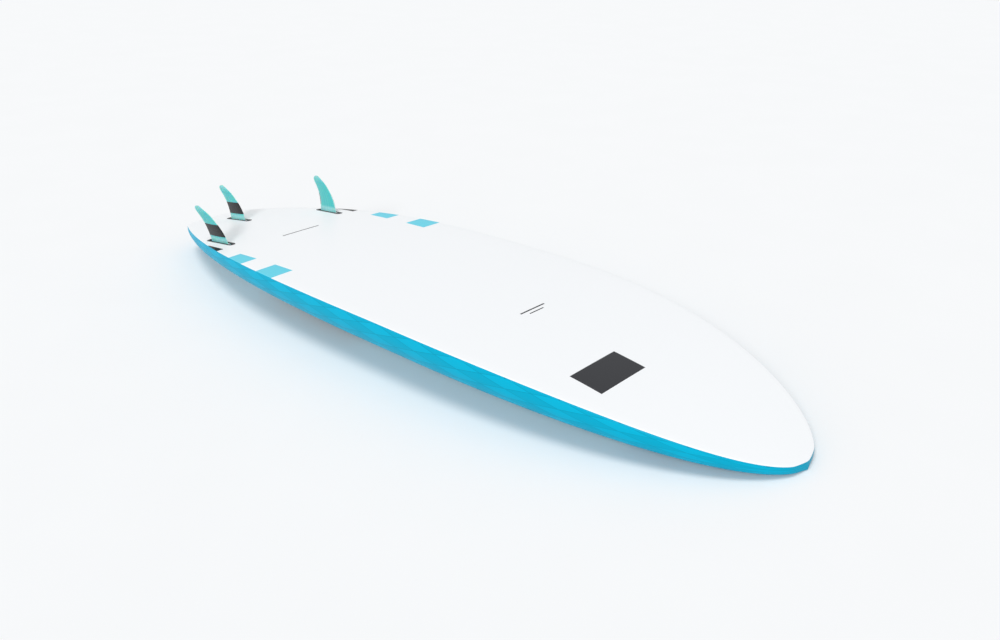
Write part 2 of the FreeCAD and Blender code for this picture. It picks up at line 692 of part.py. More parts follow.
def webbing_shape(rise):
    """The strap's webbing with a hole at each end."""
    bends = [size("heel_bend") + size("webbing_thickness"), size("strap_bend")]
    strip = band(strap_path(rise, None), bends + bends[::-1], 0, size("webbing_thickness"),
                 size("webbing_width"))
    radius = size("strap_screw_radius") + 2 * size("hole_gap")
    holes = [Part.makeCylinder(radius, FAR, Vector(sign * size("strap_span") / 2, 0, -FAR / 2)) for sign in (-1, 1)]
    return strip.cut(holes)


def cover_shape(rise):
    """The padded sleeve round the webbing's arch."""
    path = strap_path(rise, size("cover_foot"))
    bends = [size("strap_bend")] * 2
    gap = size("soft_gap")
    over = size("webbing_thickness") + gap
    sleeve = band(path, bends, -gap - size("cover_inside"), over + size("cover_outside"), size("cover_width"))
    return sleeve.cut(band(path, bends, -gap, over, size("webbing_width") + 2 * gap))


def strap_set(outer):
    """The frames of the three straps and of their six plugs."""
    out, front = size("front_strap_out"), from_tail("front_strap_from_tail")
    turn = size("front_strap_turn")
    reach = size("strap_span") / 2
    frames = {"port": seat(outer, front, -out, -1, turn, reach),
              "starboard": seat(outer, front, out, -1, -turn, reach),
              "rear": seat(outer, from_tail("rear_strap_from_tail"), 0, -1, 0, reach)}
    plugs = [frame * Placement(Vector(sign * reach, 0, 0), Rotation())
             for frame in frames.values() for sign in (1, -1)]
    return frames, plugs


def plug_hole(plug):
    """The hole in the middle of one strap plug."""
    depth = size("plug_hole_depth")
    hole = Part.makeCylinder(size("strap_screw_radius") + size("thread_gap"), depth + FAR, Vector(0, 0, -depth))
    hole.Placement = plug
    return hole


def pad_shape(deck_face, x, y, heading, length, width, plugs):
    """A pad cut from the deck's own face, with a window round each strap plug in it."""
    turn = Rotation(Vector(0, 0, 1), heading)
    outline = prism(length, width, -size("board_length"), size("board_length"), size("pad_round"),
                    Placement(Vector(x, y, 0), turn))
    face = deck_face.common(outline)
    face.translate(Vector(0, 0, -size("soft_gap")))
    pad = face.extrude(Vector(0, 0, -size("pad_thickness")))
    windows = [prism(size("pad_window_length"), size("pad_window_width"), -FAR, FAR,
                     size("pad_window_round"), plug) for plug in plugs]
    return pad.cut(windows).Solids[0]


def vent_body(label, placement):
    """The flanged bush of the vent, with a seat for the screw's head and O-ring."""
    seat_depth = "(vent_head + 2 * ring_radius + 2 * slide_gap)"
    body = new_body(label, placement)
    turned(body, "bush", [("vent_screw_radius + thread_gap", f"-{seat_depth}"),
                          ("vent_seat_radius", f"-{seat_depth}"), ("vent_seat_radius", "0"),
                          ("vent_flange_radius", "0"), ("vent_flange_radius", "-vent_flange"),
                          ("vent_shank_radius", "-vent_flange"), ("vent_shank_radius", "-vent_depth"),
                          ("vent_screw_radius + thread_gap", "-vent_depth")])


def vent_screw(label, placement):
    """The vent screw with its coin slot."""
    body = new_body(label, placement)
    turned(body, "screw", [("0", "-vent_head - vent_screw_length"),
                           ("vent_screw_radius", "-vent_head - vent_screw_length"),
                           ("vent_screw_radius", "-vent_head"), ("vent_head_radius", "-vent_head"),
                           ("vent_head_radius", "0"), ("0", "0")])
    grow(body, "Pocket", "coin_slot", profile(body, "coin_outline", "XY_Plane",
         block_outline("3 * vent_head_radius", "vent_coin_width")), "vent_coin_depth")


def vent_ring(label, placement):
    """The O-ring under the vent screw's head."""
    ring = doc.addObject("Part::Torus", label)
    ring.Label = label
    ring.setExpression("Radius1", bound("vent_screw_radius + ring_radius + slide_gap / 3"))
    ring.setExpression("Radius2", bound("ring_radius"))
    ring.Placement = placement * Placement(Vector(0, 0, -size("vent_head") - size("ring_radius")
                                                  - size("slide_gap")), Rotation())
    nodes[label] = ring


# ---------------------------------------------------------------- the board
hull = hull_shapes()
outer = hull["outer"]
side_x = from_tail("side_box_from_tail")
side_y = half_width(side_x) - size("side_box_from_rail")
fin_places = {"centre": seat(outer, from_tail("centre_box_from_tail"), 0, 1) * lip_level(0)}
fin_leans = {"centre": 0}
for side, sign in (("port", -1), ("starboard", 1)):
    fin_places[side] = (seat(outer, side_x, sign * side_y, 1, -sign * size("side_box_toe"))
                        * lip_level(-sign * size("side_box_cant")))
    fin_leans[side] = sign * size("fin_lean")

margin = 2 * size("block_margin")
bottom_pockets = []
core_pockets = []
blocks = []
for side, place in fin_places.items():
    bottom_pockets.append(fin_box(f"{side}_fin_box", place))
    block = prism(size("box_length") + margin, size("box_width") + margin,
                  -size("box_depth") - size("block_margin") / 2, FAR, size("block_margin") / 2, place)
    blocks.append(block.common(hull["core"]).cut(bottom_pockets[-1]))
    core_pockets.append(block)
    keep(f"{side}_fin", fin_shape(fin_leans[side]), place)
    cross_pin(f"{side}_fin_cross_pin", place)
    fin_plate(f"{side}_fin_plate", place)
    fin_screw(f"{side}_fin_screw", place)
keep("fin_box_blocks", Part.makeCompound(blocks))

deck_pockets = []
track_place = seat(outer, from_tail("track_from_tail"), 0, -1)
track = mast_track("mast_track", track_place)
track_block = prism(size("track_length") + margin, size("track_width") + margin,
                    -size("track_depth") - size("block_margin") / 2, FAR, size("block_margin") / 2, track_place)
keep("mast_track_block", track_block.common(hull["core"]).cut(track))
core_pockets.append(track_block)
deck_pockets.append(track)

strap_frames, plug_places = strap_set(outer)
plugs = []
for plug in plug_places:
    pocket = prism(size("plug_length"), size("plug_width"), -size("plug_depth"), FAR, size("plug_round"), plug)
    plugs.append(pocket.common(outer).cut(plug_hole(plug)))
    deck_pockets.append(pocket)
    core_pockets.append(pocket)
keep("strap_plugs", Part.makeCompound(plugs))

washer_level = size("soft_gap") + size("webbing_thickness")
head_level = washer_level + size("washer_thickness")
for name, shape, level in (("strap_washers", strap_washer, washer_level),
                           ("strap_screws", strap_screw, head_level)):
    gather(name, shape, [place * Placement(Vector(0, 0, level), Rotation()) for place in plug_places])
for name, frame in strap_frames.items():
    rise = size("rear_strap_rise") if name == "rear" else size("strap_rise")
    keep(f"{name}_strap_webbing", webbing_shape(rise), frame)
    keep(f"{name}_strap_cover", cover_shape(rise), frame)

turn = size("front_pad_turn")
for side, sign in (("port", -1), ("starboard", 1)):
    keep(f"{side}_pad", pad_shape(hull["deck_face"], from_tail("front_strap_from_tail"),
                                  sign * size("front_pad_out"), sign * turn, size("front_pad_length"),
                                  size("front_pad_width"), plug_places))
keep("rear_pad", pad_shape(hull["deck_face"], from_tail("rear_strap_from_tail"), 0, 0,
                           size("rear_pad_length"), size("rear_pad_width"), plug_places))

track_rear = from_tail("track_from_tail") - size("track_length") / 2
vent_place = seat(outer, track_rear - size("vent_behind_track"), 0, -1)
vent_body("vent_body", vent_place)
vent_screw("vent_screw", vent_place)
vent_ring("vent_o_ring", vent_place)
vent_flange = Part.makeCylinder(size("vent_flange_radius"), size("vent_flange") + FAR,
                                Vector(0, 0, -size("vent_flange")))
vent_shank = Part.makeCylinder(size("vent_shank_radius"), size("vent_depth"), Vector(0, 0, -size("vent_depth")))
vent_pocket = vent_flange.fuse(vent_shank)
vent_pocket.Placement = vent_place
deck_pockets.append(vent_pocket)
core_pockets.append(vent_pocket)

keep("bottom_skin", hull["bottom_skin"].cut(bottom_pockets))
keep("deck_skin", hull["deck_skin"].cut(deck_pockets))
keep("foam_core", hull["core"].cut(core_pockets))

# The board rests on its nose and front straps: lift it so that they meet the floor.
doc.recompute()
lift = -min(node.Shape.optimalBoundingBox(False).ZMin for node in nodes.values())
for node in nodes.values():
    node.Placement = Placement(Vector(0, 0, lift), Rotation()) * node.Placement
doc.recompute()

os.makedirs("parts", exist_ok=True)
for item in doc.Objects:
    if {"Invalid", "Error"} & set(item.State):
        raise RuntimeError(f"{item.Label} failed: {item.State}")
for label, node in nodes.items():
    if node.Shape.isNull() or not node.Shape.isValid() or node.Shape.Volume <= 0:
        raise RuntimeError(f"{label} has no valid solid")
    node.Shape.exportStep(f"parts/{label}.step")
print(f"{len(nodes)} nodes, lift {lift:.2f} mm, hull {outer.Volume / 1e6:.1f} litres")
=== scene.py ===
# %% [markdown]
# # A windsurf board for waves, lying bottom up
#
# A wave board is a sandwich: a light foam core between two hard skins, with moulded fittings let into it.
# Its solid parts were drawn in CAD and come here as a fixed frame, in metres, with the nose towards +X and
# the bottom towards +Z. This lesson dresses that frame. The skins, fins, straps and pads are built again as
# fine meshes by the same rules of shape, and every part gets the finish of its real material.

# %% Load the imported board
import json
import math
import bmesh
import bpy
from mathutils import Matrix, Vector


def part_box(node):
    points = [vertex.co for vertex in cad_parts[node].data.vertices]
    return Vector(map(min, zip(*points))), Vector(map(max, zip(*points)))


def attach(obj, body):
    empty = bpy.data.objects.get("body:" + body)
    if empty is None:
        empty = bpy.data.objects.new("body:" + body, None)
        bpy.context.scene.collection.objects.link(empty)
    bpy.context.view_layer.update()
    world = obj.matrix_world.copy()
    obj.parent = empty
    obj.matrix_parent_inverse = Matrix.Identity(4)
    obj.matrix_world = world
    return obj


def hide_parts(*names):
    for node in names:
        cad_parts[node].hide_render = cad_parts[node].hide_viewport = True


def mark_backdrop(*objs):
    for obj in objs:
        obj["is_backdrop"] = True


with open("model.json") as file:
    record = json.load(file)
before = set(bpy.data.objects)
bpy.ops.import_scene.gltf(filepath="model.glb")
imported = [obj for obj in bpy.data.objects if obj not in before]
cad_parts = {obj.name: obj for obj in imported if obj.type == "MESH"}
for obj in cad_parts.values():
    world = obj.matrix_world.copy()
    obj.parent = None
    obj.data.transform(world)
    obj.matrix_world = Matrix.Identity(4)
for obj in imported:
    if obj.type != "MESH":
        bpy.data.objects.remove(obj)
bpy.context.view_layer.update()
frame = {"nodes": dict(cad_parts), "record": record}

nodes = frame["nodes"]
print("nodes in the frame:", len(nodes))

# %% [markdown]
# ## The camera
#
# The board is seen from the front of its left side, from about 23 degrees above the floor, through a lens a
# little wider than normal. A camera is placed first, so that every later step can be judged through it. It
# looks along its own -Z axis, and `to_track_quat` turns it to the point that it should look at.

# %% Place the camera
camera_data = bpy.data.cameras.new("camera")
camera_data.lens = 34.6
camera_data.shift_y = -0.008
camera = bpy.data.objects.new("camera", camera_data)
camera.location = (2.005, -1.946, 1.258)
look_at = Vector((0.0245, 0.2696, -0.031))
camera.rotation_euler = (look_at - camera.location).to_track_quat("-Z", "Y").to_euler()
bpy.context.collection.objects.link(camera)
bpy.context.scene.camera = camera
print("camera is", round((look_at - camera.location).length, 3), "m from the middle of the board")

# %% [markdown]
# ## Tools for finishes
#
# Paint makers give colours as sRGB hex values, while shaders work with linear light, so one function turns
# the first into the second. Each material is one Principled shader with plain values on its sockets. One
# small function adds any node with its settings and links, and gives back the output that is wanted. The
# kinds of node that come up again and again have a shorthand that calls it.

# %% Colours, materials and nodes
def linear(hex_code):
    """An sRGB hex colour as linear red, green, blue and alpha."""
    shares = [int(hex_code[i:i + 2], 16) / 255 for i in (0, 2, 4)]
    return [s / 12.92 if s <= 0.04045 else ((s + 0.055) / 1.055) ** 2.4 for s in shares] + [1.0]


def new_finish(name, values):
    """A material with these plain values on its shader; returns the material and the shader."""
    material = bpy.data.materials.new(name)
    material.use_nodes = True
    shader = material.node_tree.nodes["Principled BSDF"]
    for socket, value in values.items():
        shader.inputs[socket].default_value = value
    return material, shader


def add_node(material, kind, links, settings=None, out=0):
    """One node of this kind. Links holds a value or another node's output for each input."""
    node = material.node_tree.nodes.new(kind)
    for name, value in (settings or {}).items():
        setattr(node, name, value)
    for socket, value in links.items():
        if isinstance(value, bpy.types.NodeSocket):
            material.node_tree.links.new(value, node.inputs[socket])
        else:
            node.inputs[socket].default_value = value
    return node.outputs[out]


def into(shader, socket, value):
    """Feed a node's output into the shader."""
    shader.id_data.links.new(value, shader.inputs[socket])


def maths(material, operation, *values):
    """The outcome of one sum on these values or outputs."""
    return add_node(material, "ShaderNodeMath", dict(enumerate(values)), {"operation": operation})


def over_all(material, operation, first, *others):
    """The outcome of the same sum carried on over all of these."""
    for other in others:
        first = maths(material, operation, first, other)
    return first


def mixed(material, share, first, second):
    """A colour between two colours, each a hex value, plain numbers or an output."""
    first, second = [linear(c) if isinstance(c, str) else c for c in (first, second)]
    return add_node(material, "ShaderNodeMix", {0: share, 6: first, 7: second},
                    {"data_type": "RGBA"}, out=2)


def ramp(material, value, old, new, soft=False):
    """A value carried from one range into another, evenly or with soft ends."""
    return add_node(material, "ShaderNodeMapRange", {0: value, 1: old[0], 2: old[1], 3: new[0], 4: new[1]},
                    {"interpolation_type": "SMOOTHSTEP"} if soft else {})


def object_map(material):
    """Where each point lies in the object, in metres."""
    return add_node(material, "ShaderNodeTexCoord", {}, out="Object")


def flat_places(material):
    """The two values of the piece's flat map."""
    flat_map = add_node(material, "ShaderNodeUVMap", {}, {"uv_map": "shape_map"})
    return [add_node(material, "ShaderNodeSeparateXYZ", {0: flat_map}, out=axis) for axis in (0, 1)]


def noise(material, place, grain, detail):
    """Random clouds whose grain has this size in metres."""
    return add_node(material, "ShaderNodeTexNoise", {"Vector": place, "Scale": 1 / grain, "Detail": detail})


def bumps(material, height, strength, distance):
    """A surface that looks raised by up to this distance."""
    return add_node(material, "ShaderNodeBump",
                    {"Strength": strength, "Distance": distance, "Height": height})


print("white paint in linear light:", [round(c, 3) for c in linear("F4F6F7")])

# %% [markdown]
# ## Tools for pieces
#
# Every piece is a mesh whose faces are listed by their corner points, each with a place on a flat map of the
# piece (its UV), so that a pattern can follow the shape. Corners that coincide are welded. A piece then
# rides on one body of the frame, takes its finish and may stand for solids of the frame, which are hidden.

# %% Meshes, dressing and cutting
def weld(name, faces):
    """A mesh from faces whose corners are (point, (u, v)), with equal points welded to the micrometre."""
    seen, points, rings, places = {}, [], [], []
    for face in faces:
        ring = []
        for point, place in face:
            key = tuple(round(c * 1e6) for c in point)
            if key not in seen:
                seen[key] = len(points)
                points.append(tuple(point))
            ring.append((seen[key], place))
        ring = [corner for corner, after in zip(ring, ring[1:] + ring[:1]) if corner[0] != after[0]]
        if len({corner[0] for corner in ring}) > 2:
            rings.append([corner[0] for corner in ring])
            places += [corner[1] for corner in ring]
    mesh = bpy.data.meshes.new(name)
    mesh.from_pydata(points, [], rings)
    layer = mesh.uv_layers.new(name="shape_map")
    layer.data.foreach_set("uv", [value for place in places for value in place])
    turn_outwards(mesh)
    return mesh


def turn_outwards(mesh):
    """Point all faces outwards."""
    work = bmesh.new()
    work.from_mesh(mesh)
    bmesh.ops.recalc_face_normals(work, faces=work.faces)
    work.to_mesh(mesh)
    work.free()


def new_object(name, mesh):
    """An object that shows this mesh."""
    piece = bpy.data.objects.new(name, mesh)
    bpy.context.collection.objects.link(piece)
    return piece


def smooth(piece, angle=35):
    """Shade smoothly, apart from edges sharper than this many degrees."""
    piece.data.polygons.foreach_set("use_smooth", [True] * len(piece.data.polygons))
    piece.data.set_sharp_from_angle(angle=math.radians(angle))


def dress(piece, finish, stands_for=(), body="board"):
    """Finish a piece, let it ride on its body and hide the solids that it stands for."""
    piece.data.materials.clear()
    piece.data.materials.append(finish)
    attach(piece, body)
    if stands_for:
        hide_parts(*stands_for)
    print(piece.name, len(piece.data.polygons), "faces")
    return piece


def keep_result(piece):
    """Make the outcome of a piece's modifiers its own mesh."""
    bpy.context.view_layer.update()
    shown = piece.evaluated_get(bpy.context.evaluated_depsgraph_get())
    mesh = bpy.data.meshes.new_from_object(shown)
    piece.modifiers.clear()
    piece.data = mesh


def cut(piece, cutters, operation="DIFFERENCE"):
    """Cut a piece with closed meshes, which are used up."""
    tools = [new_object("cutter", mesh) for mesh in cutters]
    for tool in tools:
        modifier = piece.modifiers.new("cut", "BOOLEAN")
        modifier.operation = operation
        modifier.solver = "EXACT"
        modifier.object = tool
    keep_result(piece)
    for tool in tools:
        bpy.data.objects.remove(tool)


def rounded_outline(length, width, radius, steps=8):
    """The corner points of a rectangle with rounded corners, about its middle."""
    outline = []
    for sx, sy, start in ((1, 1, 0), (-1, 1, 90), (-1, -1, 180), (1, -1, 270)):
        for k in range(steps + 1):
            angle = math.radians(start + 90 * k / steps)
            outline.append((sx * (length / 2 - radius) + radius * math.cos(angle),
                            sy * (width / 2 - radius) + radius * math.sin(angle)))
    return outline


def prism(outline, low, high, place):
    """A closed upright prism on an outline, put in its place by a matrix."""
    below = [(place @ Vector((a, b, low)), (a, b)) for a, b in outline]
    above = [(place @ Vector((a, b, high)), (a, b)) for a, b in outline]
    walls = [[p, q, r, s] for p, q, r, s in zip(below, below[1:] + below[:1], above[1:] + above[:1], above)]
    return weld("prism", [below[::-1], above] + walls)


# %% [markdown]
# ## The shape of the hull
#
# A shaper designs a board with three curves along its length: the outline, the rocker of the bottom and the
# thickness. Each cross-section then has a slightly crowned bottom, full rails and a domed deck. The
# functions below give those curves, in metres, and a section's deck and rails are Bezier curves.

# %% The three curves along the board
LENGTH, WIDTH, DEPTH = 2.5, 0.762, 0.128
WIDE_POINT, FLAT_POINT, THICK_POINT = 0.200, -0.098, 0.150
IDEAL_HALF = 1.25195  # the outline would end here if the tail weren't cut square
BOTTOM_VEE = 0.004  # crown of the bottom across its width
SKIN = 0.004  # thickness of the sandwich skins
NOSE_ROCKER, TAIL_ROCKER = 0.160, 0.090  # how far the two ends lie below the level part
NOSE_FINENESS, NOSE_ROUNDNESS, PINCH = 2.2, 1.84, 0.70  # shape of the outline's nose and tail
NOSE_THINNING, TAIL_THINNING = 0.79, 0.64  # share of the thickness lost at the two ends
NOSE_AT, NOSE_CLOSING = 1.235, 0.015  # where the nose starts to close, and over what length
TAIL_AT, TAIL_ROUND, TAIL_CORNER = -1.242, 0.008, 0.075  # the tail's rounded edge, and its corners
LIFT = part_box("bottom_skin")[1].z  # height of the level part of the bottom above the floor


def half_width(x):
    """Half the board's width at x; the nose closes in the last 15 mm."""
    if x >= WIDE_POINT:
        share = (x - WIDE_POINT) / (IDEAL_HALF - WIDE_POINT)
        tip = max(0.0, (x - NOSE_AT) / NOSE_CLOSING)
        full = (1 - share ** NOSE_FINENESS) ** (1 / NOSE_ROUNDNESS)
        return WIDTH / 2 * full * math.sqrt(max(0.0, 1 - tip * tip))
    share = (WIDE_POINT - x) / (IDEAL_HALF + WIDE_POINT)
    corner = max(0.0, (TAIL_CORNER - IDEAL_HALF - x) / TAIL_CORNER)
    return WIDTH / 2 * (1 - PINCH * share ** 3) * (1 - corner ** 4) ** 0.25


def bottom_height(x):
    """The rocker: height of the bottom's centreline at x, below its level part."""
    if x >= FLAT_POINT:
        return -NOSE_ROCKER * ((x - FLAT_POINT) / (LENGTH / 2 - FLAT_POINT)) ** 3
    return -TAIL_ROCKER * ((FLAT_POINT - x) / (LENGTH / 2 + FLAT_POINT)) ** 2.24


def thickness(x):
    """The board's thickness at x."""
    if x >= THICK_POINT:
        return DEPTH * (1 - NOSE_THINNING * ((x - THICK_POINT) / (LENGTH / 2 - THICK_POINT)) ** 3)
    return DEPTH * (1 - TAIL_THINNING * ((THICK_POINT - x) / (LENGTH / 2 + THICK_POINT)) ** 1.9)


def section_facts(x, inset=0.0):
    """Half width, depth, crown and height of the bottom edge of the section at x."""
    half = half_width(x)
    half -= inset * min(1.0, half / 0.02)
    crown = BOTTOM_VEE * half / (WIDTH / 2)
    return half, thickness(x) - 2 * inset, crown, LIFT + bottom_height(x) - inset - crown


print("width at the middle and at the tail", [round(2 * half_width(x), 4) for x in (0, -LENGTH / 2)])

# %% [markdown]
# A section is walked as one ring: the bottom, a softened edge, the rail, the deck and back. The edge is
# crisp at the tail, where it lets the water go, and rounder towards the nose. White and coloured paint meet
# in the middle of that softened edge, so the ring is split there into a bottom run and a deck run.

# %% One section of the hull
RAIL_POLES = [(1, 0), (1.02, 0.26), (1.005, 0.50), (0.94, 0.68)]  # across and down, as shares
DECK_POLES = [(0.94, 0.68), (0.786, 1.107), (-0.786, 1.107), (-0.94, 0.68)]


def bezier(poles, share):
    """The point of a Bezier curve of any order."""
    while len(poles) > 1:
        poles = [tuple(a + (b - a) * share for a, b in zip(p, q)) for p, q in zip(poles, poles[1:])]
    return poles[0]


def section_runs(x, inset=0.0):
    """The bottom run and the deck run of one section, as (point, (x, share round the section))."""
    half, depth, crown, edge = section_facts(x, inset)
    along = x * (1 - 2 * inset / LENGTH)
    soft = 0.0015 + 0.0045 * min(1.0, max(0.0, (x + 0.9) / 1.2))
    soft = min(soft, 0.45 * half, 0.2 * depth)
    into_end = min(1.0, max(0.0, (TAIL_AT - x) / TAIL_ROUND))
    end_round = TAIL_ROUND * (1 - math.sqrt(1 - into_end ** 2))

    def placed(across, down):
        return (across * half, edge - (depth - crown - end_round) * down)

    def bottom_at_edge(y):
        return (y, edge + crown * (1 - (y / half) ** 2)) if half else (0.0, edge)

    rail = [placed(*pole) for pole in RAIL_POLES]
    start = soft / max(1e-9, 3 * math.dist(rail[0], rail[1]))
    flat = half - soft
    bottom = [bottom_at_edge(flat * (k / 10 - 1)) for k in range(21)]
    turn = [bezier([bottom[-1], rail[0], bezier(rail, start)], k / 6) for k in range(7)]
    right = turn[3:-1] + [bezier(rail, start + (1 - start) * k / 12) for k in range(12)]
    shares = [0.0] * 3 + [start + (1 - start) * k / 12 for k in range(12)]
    deck = [bezier([placed(*pole) for pole in DECK_POLES], k / 28) for k in range(29)]
    deck_shares = [1 + 1 - abs(k / 14 - 1) for k in range(29)]
    left = [(-y, z) for y, z in reversed(right)]
    bottom_run = [(-y, z) for y, z in turn[3:0:-1]] + bottom + turn[1:4]
    deck_run = right + deck + left
    round_shares = shares + deck_shares + shares[::-1]
    return ([(Vector((along, y, z)), (x, y)) for y, z in bottom_run],
            [(Vector((along, y, z)), (x, share)) for (y, z), share in zip(deck_run, round_shares)])


BETWEEN_ENDS = 2.477  # from the tail's rounded edge to where the nose starts to close
stations = [-LENGTH / 2 + TAIL_ROUND * (1 - math.cos(math.pi * k / 12)) for k in range(6)]
stations += [TAIL_AT + BETWEEN_ENDS * (1 - math.cos(math.pi * k / 130)) / 2 for k in range(131)]
stations += [NOSE_AT + NOSE_CLOSING * math.sin(math.pi * k / 20) for k in range(1, 11)]
print(len(stations), "sections, each of", len(section_runs(0.0)[0]) + len(section_runs(0.0)[1]) - 2, "points")

# %% [markdown]
# ## The two skins
#
# The skins are closed shells: an outer sheet, an inner sheet 4 mm inside it, and the joint where the two
# skins meet. A shell with a real thickness can be cut cleanly, and no gap opens at a pocket's edge. The
# squash tail is cut square, so the deck's shell is closed there by a flat end.

# %% Build the skins
def sheet_faces(rows):
    """The faces between neighbouring rows of corners."""
    return [[a, b, c, d] for low, high in zip(rows, rows[1:])
            for a, b, c, d in zip(low, low[1:], high[1:], high)]


def shell_faces(outer, inner):
    """A closed shell between two sheets of the same layout, apart from its ends."""
    sides = [[o[side] for o in outer] for side in (0, -1)]
    inner_sides = [[i[side] for i in inner] for side in (0, -1)]
    joint = [face for pair in zip(sides, inner_sides) for face in sheet_faces(pair)]
    return sheet_faces(outer) + sheet_faces(inner) + joint


outer_runs = [section_runs(x) for x in stations]
inner_runs = [section_runs(x, SKIN) for x in stations]
end_faces = [face for end in (0, -1) for face in sheet_faces([outer_runs[end][0], inner_runs[end][0]])]
bottom_faces = shell_faces([r[0] for r in outer_runs], [r[0] for r in inner_runs]) + end_faces
deck_faces = shell_faces([r[1] for r in outer_runs], [r[1] for r in inner_runs]) + end_faces
for bottom_run, deck_run in (outer_runs[0], inner_runs[0]):
    deck_faces.append(bottom_run[:-1] + deck_run[:-1])
hull_bottom = new_object("hull_bottom", weld("hull_bottom", bottom_faces))
hull_deck = new_object("hull_rail_and_deck", weld("hull_rail_and_deck", deck_faces))
for skin in (hull_bottom, hull_deck):
    loose = bmesh.new()
    loose.from_mesh(skin.data)
    print(skin.name, "open edges:", sum(not edge.is_manifold for edge in loose.edges))
    loose.free()

# %% [markdown]
# ## Where the fittings sit
#
# A fitting is set square to the surface under it. Its frame has Z out of the board and X along it, found
# from the heights of the surface before, behind and beside the fitting. The frames are needed for the
# pockets and for every piece that is built on a fitting.

# %% Frames of the fittings
CENTRE_BOX_AT, SIDE_BOX_AT = -1.066, -0.820  # places along the board, from its middle
SIDE_BOX_IN = 0.050  # from the bottom's edge to the side box
TOE, CANT = 2.3, 3.5  # degrees that the side boxes point in and lean out
LIP_PROUD = 0.0008  # how far a box's lip stands out of the bottom
FRONT_STRAP_AT, REAR_STRAP_AT = -0.350, -0.880
STRAP_ASIDE, STRAP_TURN = 0.125, 30  # the front straps: out from the middle, and degrees
PLUG_REACH = 0.080  # from the middle of a strap to its plugs
TRACK_AT, VENT_AT = 0.100, -0.140
CLEAR = 0.0003  # gap under what lies on the deck


def bottom_at(x, y):
    """Height of the bottom over a point."""
    half, depth, crown, edge = section_facts(x)
    return edge + crown * (1 - (y / half) ** 2)


def deck_at(x, y):
    """Height of the deck under a point, found by halving the range of the deck curve."""
    half, depth, crown, edge = section_facts(x)
    low, high = 0.0, 1.0
    for _ in range(24):
        middle = (low + high) / 2
        across, down = bezier(DECK_POLES, middle)
        low, high = (middle, high) if across * half > y else (low, middle)
    return edge - (depth - crown) * down


def seat(height, x, y, side, heading=0.0, reach=0.01):
    """The frame of a fitting on the bottom (side 1) or the deck (side -1), as a matrix."""
    turn = math.radians(heading)
    ahead, aside = Vector((math.cos(turn), math.sin(turn), 0)), Vector((-math.sin(turn), math.cos(turn), 0))
    steps = (ahead * reach, -ahead * reach, aside * 0.01, -aside * 0.01)
    spots = [Vector((x, y, 0)) + step for step in steps]
    front, back, right, left = [Vector((s.x, s.y, height(s.x, s.y))) for s in spots]
    along = (front - back).normalized()
    out = along.cross(right - left).normalized() * side
    across = out.cross(along)
    place = Matrix((along, across, out)).transposed().to_4x4()
    place.translation = (front + back) / 2
    return place


def lip_level(cant):
    """From the bottom to the top of a fin box's lip, leaning by this many degrees."""
    return Matrix.Translation((0, 0, LIP_PROUD)) @ Matrix.Rotation(math.radians(cant), 4, "X")


side_out = half_width(SIDE_BOX_AT) - SIDE_BOX_IN
fin_seats = {"centre": seat(bottom_at, CENTRE_BOX_AT, 0.0, 1) @ lip_level(0),
             "port": seat(bottom_at, SIDE_BOX_AT, -side_out, 1, TOE) @ lip_level(CANT),
             "starboard": seat(bottom_at, SIDE_BOX_AT, side_out, 1, -TOE) @ lip_level(-CANT)}
strap_seats = {"port": seat(deck_at, FRONT_STRAP_AT, -STRAP_ASIDE, -1, STRAP_TURN, PLUG_REACH),
               "starboard": seat(deck_at, FRONT_STRAP_AT, STRAP_ASIDE, -1, -STRAP_TURN, PLUG_REACH),
               "rear": seat(deck_at, REAR_STRAP_AT, 0.0, -1, 0, PLUG_REACH)}
plug_seats = [place @ Matrix.Translation((step, 0, 0)) for place in strap_seats.values()
              for step in (PLUG_REACH, -PLUG_REACH)]
track_seat = seat(deck_at, TRACK_AT, 0.0, -1)
vent_seat = seat(deck_at, VENT_AT, 0.0, -1)
for name, place in (("centre_fin_box", fin_seats["centre"]), ("mast_track", track_seat),
                    ("vent_body", vent_seat)):
    low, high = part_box(name)
    off = ((low + high) / 2 - place.translation).to_2d().length
    print(name, "is off its solid by", round(off * 1000, 1), "mm")

# %% [markdown]
# ## Pockets in the skins
#
# Boards are routed for their fittings after the skins are on. The same is done here: each skin is cut with
# rounded prisms the size of the lips that sit in it. The cut is a tenth of a millimetre wider than the
# lip, as the fine line round a glued-in fitting is.

# %% Rout the pockets
ROUTED_WIDER = 0.0002  # across the whole lip
THROUGH = 0.020  # half the height of a prism that passes through a skin
BOX_LIP, TRACK_LIP = (0.145, 0.025, 0.011), (0.320, 0.044, 0.014)  # length, width, corner radius
VENT_LIP, PLUG_LIP = (0.028, 0.028, 0.0139), (0.062, 0.016, 0.0075)


def pocket(length, width, radius, place):
    """A prism through the skin, a tenth of a millimetre larger than a lip on each side."""
    outline = rounded_outline(length + ROUTED_WIDER, width + ROUTED_WIDER, radius)
    return prism(outline, -THROUGH, THROUGH, place)


cut(hull_bottom, [pocket(*BOX_LIP, place) for place in fin_seats.values()])
deck_cutters = [pocket(*TRACK_LIP, track_seat), pocket(*VENT_LIP, vent_seat)]
deck_cutters += [pocket(*PLUG_LIP, place) for place in plug_seats]
cut(hull_deck, deck_cutters)
for skin in (hull_bottom, hull_deck):
    smooth(skin, 30)
    print(skin.name, len(skin.data.polygons), "faces after routing")

# %% [markdown]
# ## The bottom's paint
#
# The bottom is sprayed with white two-part polyurethane and rubbed down to a satin, which lets water run off
# it evenly, so it is a smooth white that mirrors almost nothing, with a trace of orange peel. Near the tail
# each side carries one black and two light blue blocks of colour along the rail, masked off and sprayed
# before the clear coat. One plain dark block stands towards the nose, left of the centre line, and a few thin
# rules lie across the middle.

